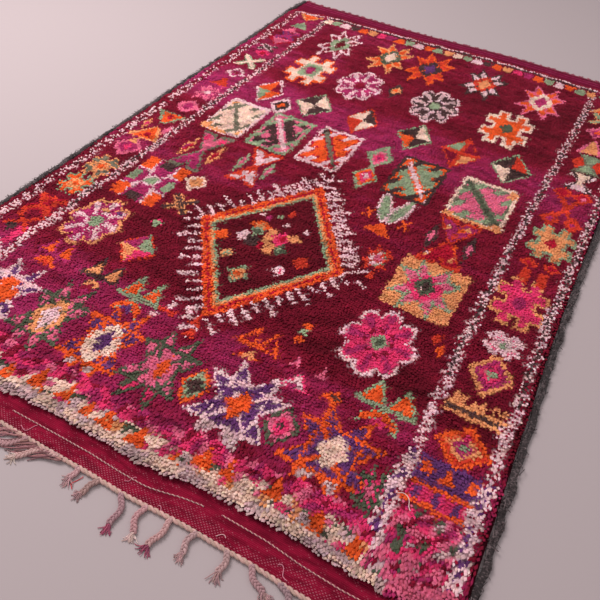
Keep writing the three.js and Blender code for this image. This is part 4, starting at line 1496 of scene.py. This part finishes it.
# %% Stray hairs
HAIRS = 1600
HAIR_AIM = (0.15, 2.6)  # how steeply the hairs stand out of the roll, in radians up from the rug's outside
HAIR_REACH = (1.1, 2.1)  # how far out they end, against the roll's own half width
HAIR_STATIONS = 4
hair_side = chance.choice((-1, 1), HAIRS)
hair_y = chance.uniform(-RUG_LENGTH / 2 + 0.01, RUG_LENGTH / 2 - 0.01, HAIRS)
hair_edge = np.where(
    hair_side > 0, right_side(hair_y) + SELVEDGE_HALF, left_side(hair_y) - SELVEDGE_HALF)
hair_aim = chance.uniform(*HAIR_AIM, HAIRS)
hair_run = chance.normal(0, 9, HAIRS) * MM
out = np.linspace(0.55, 1, HAIR_STATIONS)[None]
hair_length = chance.uniform(*HAIR_REACH, HAIRS)[:, None]
hair_paths = np.stack([
    hair_edge[:, None] + SELVEDGE_HALF * hair_length * out * (hair_side * np.cos(hair_aim))[:, None],
    hair_y[:, None] + hair_run[:, None] * (out - 0.4) * 2,
    SELVEDGE_TALL * (1.05 + 0.95 * hair_length * out * np.sin(hair_aim)[:, None]),
], axis=-1)
HAIR_DYES = linear([(44, 32, 34), (58, 44, 46), (104, 88, 90), (148, 126, 128)])
hair_shades = HAIR_DYES[chance.choice(len(HAIR_DYES), HAIRS, p=(0.4, 0.3, 0.2, 0.1))]
hairs = yarn_tubes("selvedge_hairs", hair_paths, 0.8 * MM, 3, hair_shades)
print("hairs", triangles(hairs), "triangles")

# %% [markdown]
# ## The far end
# The last warps are tied off as short tufts on a thin cord. They are the same wine colour as the cloth.

# %% Far end
FAR_CORD = 4 * MM
TUFT_SPACING = 37 * MM
TUFT_YARNS = 11
TIED_RADII = np.array((0.9, 1.5, 1.7, 1.6, 1.4, 0.9)) * MM  # from the tied root to the cut end
far_x = np.linspace(-CLOTH_WIDTH / 2 + 3 * MM, CLOTH_WIDTH / 2 - 3 * MM, 460)
far_line_y = far_edge(far_x) + FAR_CORD + CORD_GAP
far_paths = twisted(far_x, far_line_y, np.full_like(far_x, 3.9 * MM), 2, 1.8 * MM, 19 * MM, 0.7)
far_cord = yarn_tubes("far_cord", far_paths, 2.4 * MM, 6, shades(FAR_WINE, 2))
tied_paths, tied_radii = [], []
tied_x = np.arange(-CLOTH_WIDTH / 2 + 14 * MM, CLOTH_WIDTH / 2 - 10 * MM, TUFT_SPACING)
for x_tied in tied_x + chance.normal(0, 4, len(tied_x)) * MM:
    heading_tied = chance.normal(0, 0.35)
    out = np.linspace(0, 1, len(TIED_RADII))
    for yarn in range(TUFT_YARNS):
        bearing = heading_tied + chance.normal(0, 0.42) * out
        length = chance.uniform(13, 24) * MM
        x = x_tied + chance.uniform(-3, 3) * MM + np.sin(bearing) * out * length
        y = far_edge(x_tied) + 3 * MM + np.cos(bearing) * out * length
        high = chance.uniform(2.2, 7) * MM
        z = high + (chance.uniform(1.4, 3.4) * MM - high) * out ** 1.5
        tied_paths.append(np.stack([x, y, z], axis=1))
        tied_radii.append(TIED_RADII)
tied_shades = shades(FAR_WINE, len(tied_paths), 0.2)
tied_tufts = yarn_tubes("far_tufts", tied_paths, tied_radii, 5, tied_shades)
print("far end", triangles(far_cord) + triangles(tied_tufts), "triangles")

# %% [markdown]
# ## Loose threads
# A few threads lie loose on the near band, one pale thread lies on the pile at the right, and one red thread
# curls out beside a tassel.

# %% Loose threads
LOOSE_STATIONS = 24
LOOSE = (  # x, y, height, heading in degrees, length, wave, and red, green and blue
    (-200, -1283, 5.0, 70, 46, 5, (214, 130, 150)),
    (188, -1286, 5.0, 100, 38, 4, (214, 130, 150)),
    (90, -1276, 5.0, 60, 30, 4, (206, 120, 140)),
    (470, -1270, 5.0, 110, 44, 6, (214, 130, 150)),
    (330, -1282, 5.0, 80, 26, 3, (226, 170, 176)),
    (-420, -1280, 5.0, 95, 40, 5, (214, 130, 150)),
    (620, -1010, 22.0, 115, 60, 4, (236, 208, 204)),
    (6, -1312, 1.6, 170, 44, 9, (206, 40, 56)),
)
loose_paths = []
for x, y, z, bearing, length, wave, rgb in LOOSE:
    out = np.linspace(0, 1, LOOSE_STATIONS)
    bend = math.radians(bearing) + 0.9 * np.sin(out * 5 + x)
    aside, outward = steered(bend, out, length * MM)
    path_y = y * MM + outward + wave * MM * 0.3 * np.sin(out * 9)
    path_z = z * MM + 0.5 * MM * np.sin(out * 14)
    loose_paths.append(np.stack([x * MM + aside, path_y, path_z], axis=1))
loose_colours = linear([rgb for *_, rgb in LOOSE])
threads = yarn_tubes("loose_threads", loose_paths, 0.9 * MM, 5, loose_colours)
print("threads", triangles(threads), "triangles")

# %% [markdown]
# ## Materials
# Wool is matt, with a soft bloom at glancing angles, and each yarn is a bundle of fibres. One node group
# draws the fibres: noise that is stretched along the yarn gives both a tone and a height. The weave has a
# material of its own, with ribs of weft and pale specks where the warp shows through.

# %% Node helpers
def set_inputs(node, values):
    """Puts values on a node's inputs, whose names are given with underscores for spaces."""
    for name, value in values.items():
        node.inputs[name.replace("_", " ")].default_value = value


def add_node(tree, kind, settings=(), **values):
    """A node with its settings, and with values on its inputs."""
    node = tree.nodes.new(kind)
    for name, value in dict(settings).items():
        setattr(node, name, value)
    set_inputs(node, values)
    return node


def attribute(tree, name, output="Fac"):
    """What a piece stores for its points under this name."""
    return add_node(tree, "ShaderNodeAttribute", {"attribute_name": name}).outputs[output]


def new_material(name, **values):
    """A material, its node tree and its shader, with values on the shader's inputs."""
    material = bpy.data.materials.new(name)
    material.use_nodes = True
    shader = material.node_tree.nodes["Principled BSDF"]
    set_inputs(shader, values)
    return material, material.node_tree, shader


def dress(tree, shader, colour, height, strength, depth):
    """Gives a shader its colour, and a height as a bump of this strength and depth."""
    bump = add_node(tree, "ShaderNodeBump", Strength=strength, Distance=depth)
    tree.links.new(height, bump.inputs["Height"])
    tree.links.new(colour, shader.inputs["Base Color"])
    tree.links.new(bump.outputs["Normal"], shader.inputs["Normal"])


def new_group(name, inputs, outputs):
    """An empty node group with named sockets, and its input and output nodes."""
    tree = bpy.data.node_groups.new(name, "ShaderNodeTree")
    for label, kind in inputs:
        tree.interface.new_socket(label, in_out="INPUT", socket_type=kind)
    for label, kind in outputs:
        tree.interface.new_socket(label, in_out="OUTPUT", socket_type=kind)
    return tree, tree.nodes.new("NodeGroupInput"), tree.nodes.new("NodeGroupOutput")


def math_node(tree, operation, first, second=0.0):
    """A math node on one or two inputs, each a socket or a number, and its result."""
    node = add_node(tree, "ShaderNodeMath", {"operation": operation})
    for socket, value in zip(node.inputs, (first, second)):
        if isinstance(value, (int, float)):
            socket.default_value = value
        else:
            tree.links.new(value, socket)
    return node.outputs[0]


def map_range(tree, value, low, high, to_low, to_high):
    """A value carried from one range to another, kept inside it."""
    node = add_node(tree, "ShaderNodeMapRange", From_Min=low, From_Max=high, To_Min=to_low, To_Max=to_high)
    tree.links.new(value, node.inputs["Value"])
    return node.outputs["Result"]


def mix_colour(tree, blend, share, first, second):
    """Two colours mixed by a share; each is a socket or a colour, and the share a socket or a number."""
    node = add_node(tree, "ShaderNodeMix", {"data_type": "RGBA", "blend_type": blend})
    for socket, value in zip((node.inputs[0], node.inputs[6], node.inputs[7]), (share, first, second)):
        if hasattr(value, "is_linked"):
            tree.links.new(value, socket)
        else:
            socket.default_value = value if isinstance(value, float) else (*value, 1.0)
    return node.outputs[2]


def noise_at(tree, scale, detail, stretch):
    """Noise in object space, stretched along the axes."""
    place = add_node(tree, "ShaderNodeTexCoord")
    mapping = add_node(tree, "ShaderNodeMapping", Scale=stretch)
    noise = add_node(tree, "ShaderNodeTexNoise", Scale=scale, Detail=detail)
    tree.links.new(place.outputs["Object"], mapping.inputs["Vector"])
    tree.links.new(mapping.outputs["Vector"], noise.inputs["Vector"])
    return noise.outputs["Fac"]


EVEN = (1.0, 1.0, 1.0)  # a noise that isn't stretched
print("node helpers ready")

# %% Fibre group
FIBRE_SCALE = 420.0
fibre, fibre_in, fibre_out = new_group(
    "wool fibre",
    (("Colour", "NodeSocketColor"), ("Shade", "NodeSocketFloat")),
    (("Colour", "NodeSocketColor"), ("Height", "NodeSocketFloat")),
)
strands_noise = noise_at(fibre, FIBRE_SCALE, 3.0, (1.6, 0.32, 0.8))
cloudy_noise = noise_at(fibre, 26.0, 2.0, EVEN)
fibre_tone = map_range(fibre, strands_noise, 0.3, 0.7, 0.84, 1.14)
cloud_tone = map_range(fibre, cloudy_noise, 0.3, 0.7, 0.9, 1.1)
wool_tone = math_node(fibre, "MULTIPLY", fibre_tone, cloud_tone)
tone = math_node(fibre, "MULTIPLY", wool_tone, fibre_in.outputs["Shade"])
scaled = add_node(fibre, "ShaderNodeVectorMath", {"operation": "SCALE"})
fibre.links.new(fibre_in.outputs["Colour"], scaled.inputs[0])
fibre.links.new(tone, scaled.inputs["Scale"])
fibre.links.new(scaled.outputs[0], fibre_out.inputs["Colour"])
fibre.links.new(strands_noise, fibre_out.inputs["Height"])
print(fibre.name, len(fibre.nodes), "nodes")

# %% Wool materials
# painted shade towards a tuft's root, where little light reaches between the tufts
ROOT_SHADE = 0.86


def wool_material(name, roughness, sheen, bump_depth, with_tip=False):
    """Wool that is coloured by each point's yarn, with painted shade towards a tuft's root where with_tip is
    set.
    """
    material, tree, shader = new_material(
        name, Roughness=roughness, Sheen_Weight=sheen, Sheen_Roughness=0.45, Specular_IOR_Level=0.06)
    group = add_node(tree, "ShaderNodeGroup", {"node_tree": fibre}, Shade=1.0)
    tree.links.new(attribute(tree, "yarn", "Color"), group.inputs["Colour"])
    if with_tip:
        tip_shade = map_range(tree, attribute(tree, "tip"), 0.1, 0.9, ROOT_SHADE, 1.0)
        tree.links.new(tip_shade, group.inputs["Shade"])
    dress(tree, shader, group.outputs["Colour"], group.outputs["Height"], 0.8, bump_depth)
    return material


pile_wool = wool_material("pile wool", 0.92, 0.04, 1.6 * MM, with_tip=True)
warp_wool = wool_material("warp yarn", 0.9, 0.15, 0.8 * MM)
wine_wool = wool_material("wine yarn", 0.92, 0.12, 0.8 * MM)
hair_wool = wool_material("goat hair strands", 0.7, 0.1, 0.3 * MM)
print("wool materials ready")

# %% [markdown]
# The weave's ribs run across the rug, so they are a sine wave along it. The pale warp shows as rows of fine
# specks, set over by half from row to row: a wave across times a wave along is high in every other cell of
# a grid. They stand thickest beside the cord, and the far band has fewer of them on darker wool.

# %% Flat weave material
RIB_PITCH = 3.9 * MM
SPECK_PITCH = 4.3 * MM
BAND_RED = linear((156, 24, 56))
BAND_DEEP = linear((116, 16, 40))
# painted shade in the grooves between the weft ribs
PAINTED_SHADE_BETWEEN_RIBS = (0.3, 0.25, 0.27)
FAR_BAND = linear((116, 22, 54))
SPECK_PALE = linear((186, 106, 122))
# painted shade: the near-black wine that the cloth is painted where the pile covers it
PAINTED_SHADE_UNDER_PILE = linear((58, 12, 22))
FAR_STRIPE = linear((166, 50, 94))
STRIPES = ((14 * MM, 3 * MM), (34 * MM, 3 * MM))  # distance from the far edge and half width of each stripe

weave, tree, shader = new_material("flat weave", Roughness=0.95, Specular_IOR_Level=0.04)
plus, minus, times, sine, size_of = (
    partial(math_node, tree, word) for word in ("ADD", "SUBTRACT", "MULTIPLY", "SINE", "ABSOLUTE"))
ranged, mixed, noise = partial(map_range, tree), partial(mix_colour, tree), partial(noise_at, tree)
from_end, far_mask, under = (attribute(tree, name) for name in ("from_end", "far_end", "under_pile"))
place = add_node(tree, "ShaderNodeTexCoord")
axes = add_node(tree, "ShaderNodeSeparateXYZ")
tree.links.new(place.outputs["Object"], axes.inputs[0])
wobble = ranged(noise(18.0, 2.0, EVEN), 0.0, 1.0, -3 * MM, 3 * MM)
rib_place = plus(from_end, times(wobble, 0.3))
rib = sine(times(rib_place, math.tau / RIB_PITCH))
row_wave = sine(times(rib_place, math.pi / RIB_PITCH))
warp_wave = sine(times(axes.outputs["X"], math.pi / SPECK_PITCH))
speck_noise = noise(120.0, 2.0, (0.6, 1.4, 1.0))
patch_level = ranged(noise(11.0, 2.0, (0.6, 1.6, 1.0)), 0.35, 0.65, -0.08, 0.08)
near_rim = ranged(from_end, 8 * MM, 52 * MM, 0.10, -0.08)
speck_level = minus(plus(plus(speck_noise, near_rim), patch_level), times(far_mask, 0.2))
speck_cell = ranged(times(row_wave, warp_wave), 0.25, 0.6, 0.0, 1.0)
specks = times(ranged(speck_level, 0.47, 0.60, 0.0, 1.0), speck_cell)
band_tone = ranged(noise(60.0, 3.0, (0.35, 1.4, 1.0)), 0.35, 0.65, 0.0, 1.0)
band_colour = mixed("MIX", band_tone, BAND_DEEP, BAND_RED)
band_colour = mixed("MIX", times(far_mask, 0.85), band_colour, FAR_BAND)
# painted shade: the weave is darkened in the grooves between its ribs
band_colour = mixed("MULTIPLY", ranged(rib, -1.0, 0.2, 0.4, 0.0), band_colour, PAINTED_SHADE_BETWEEN_RIBS)
band_colour = mixed("MIX", times(specks, 0.52), band_colour, SPECK_PALE)
for middle, half in STRIPES:
    off = size_of(minus(from_end, middle))
    stripe = times(ranged(plus(off, wobble), half * 0.6, half * 1.3, 0.75, 0.0), far_mask)
    stripe = times(stripe, ranged(speck_noise, 0.35, 0.55, 0.2, 1.0))
    band_colour = mixed("MIX", stripe, band_colour, FAR_STRIPE)
# painted shade under the pile: the weave turns near-black where the pile covers it
cloth_colour = mixed("MIX", under, band_colour, PAINTED_SHADE_UNDER_PILE)
weave_height = plus(ranged(rib, -1.0, 1.0, 0.0, 1.0), times(speck_noise, 0.8))
dress(tree, shader, cloth_colour, weave_height, 0.9, 1.2 * MM)
print("flat weave", len(tree.nodes), "nodes")

# %% [markdown]
# The wrapping is dark hair with grey flecks, which are stretched round the roll.

# %% Goat hair material
HAIR_DARK = linear((36, 23, 25))
HAIR_GREY = linear((104, 86, 88))
goat_hair, tree, shader = new_material("goat hair", Roughness=0.75, Sheen_Weight=0.2, Specular_IOR_Level=0.3)
fleck = noise_at(tree, 210.0, 3.0, (0.6, 1.5, 1.0))
cloud = map_range(tree, noise_at(tree, 22.0, 2.0, EVEN), 0.3, 0.7, -0.06, 0.08)
fleck_share = map_range(tree, math_node(tree, "ADD", fleck, cloud), 0.52, 0.66, 0.0, 1.0)
dress(tree, shader, mix_colour(tree, "MIX", fleck_share, HAIR_DARK, HAIR_GREY), fleck, 0.9, 1.0 * MM)
print("goat hair", len(tree.nodes), "nodes")

# %% [markdown]
# ## Sewing on
# Every piece gets its material and the body it rides on, and the solids it stands for are hidden.

# %% Sew on
for piece in (*pile, blanket):
    sew_on(piece, "wool_pile", pile_wool)
sew_on(cloth, "wool_pile", weave, "cloth")
sew_on(near_cord, "warp_yarn", warp_wool, "near_fringe")
for piece in (plaits, brushes, twining, threads):
    sew_on(piece, "warp_yarn", warp_wool)
sew_on(selvedges[0], "goat_hair", goat_hair, "selvedge_left")
sew_on(selvedges[1], "goat_hair", goat_hair, "selvedge_right")
sew_on(hairs, "goat_hair", hair_wool)
sew_on(far_cord, "wine_yarn", wine_wool, "far_fringe")
sew_on(tied_tufts, "wine_yarn", wine_wool)

# %% [markdown]
# ## Floor and light
# The floor is plain and pale. A wide soft light hangs high at the left, so shadows fall gently to the right
# and a little towards us, and the sky fills them.

# %% Floor and light
FLOOR_HALF = 12.0
FLOOR_TONE = linear((178, 162, 164))
floor_points = np.array([(-1, -1, 0), (1, -1, 0), (1, 1, 0), (-1, 1, 0)], float) * FLOOR_HALF
floor = make_mesh("floor", floor_points, np.array([[0, 1, 2, 3]]))
floor_look = new_material("plain floor", Base_Color=(*FLOOR_TONE, 1.0), Roughness=0.8, Specular_IOR_Level=0.2)
floor.data.materials.append(floor_look[0])

SKY_STRENGTH = 0.60
SKY_COLOUR = (1.0, 0.985, 0.985)
LAMP_COLOUR = (1.0, 0.975, 0.965)
LAMP_PLACE = Vector((-2.4, 0.2, 2.9))
LAMP_AIM = Vector((0.0, -0.4, 0.0))
LAMP_SIZE = 1.8
LAMP_POWER = 122.0
world = bpy.data.worlds.new("studio")
world.use_nodes = True
sky = world.node_tree.nodes["Background"]
sky.inputs["Color"].default_value = (*SKY_COLOUR, 1.0)
sky.inputs["Strength"].default_value = SKY_STRENGTH
bpy.context.scene.world = world
lamp_data = bpy.data.lights.new("window", "AREA")
lamp_data.energy = LAMP_POWER
lamp_data.size = LAMP_SIZE
lamp_data.color = LAMP_COLOUR
lamp = bpy.data.objects.new("window", lamp_data)
lamp.location = LAMP_PLACE
lamp.rotation_euler = (LAMP_AIM - LAMP_PLACE).to_track_quat("-Z", "Y").to_euler()
bpy.context.scene.collection.objects.link(lamp)
bpy.context.scene.view_settings.view_transform = "Standard"
print("lamp stands", round((LAMP_PLACE - LAMP_AIM).length, 2), "m away")
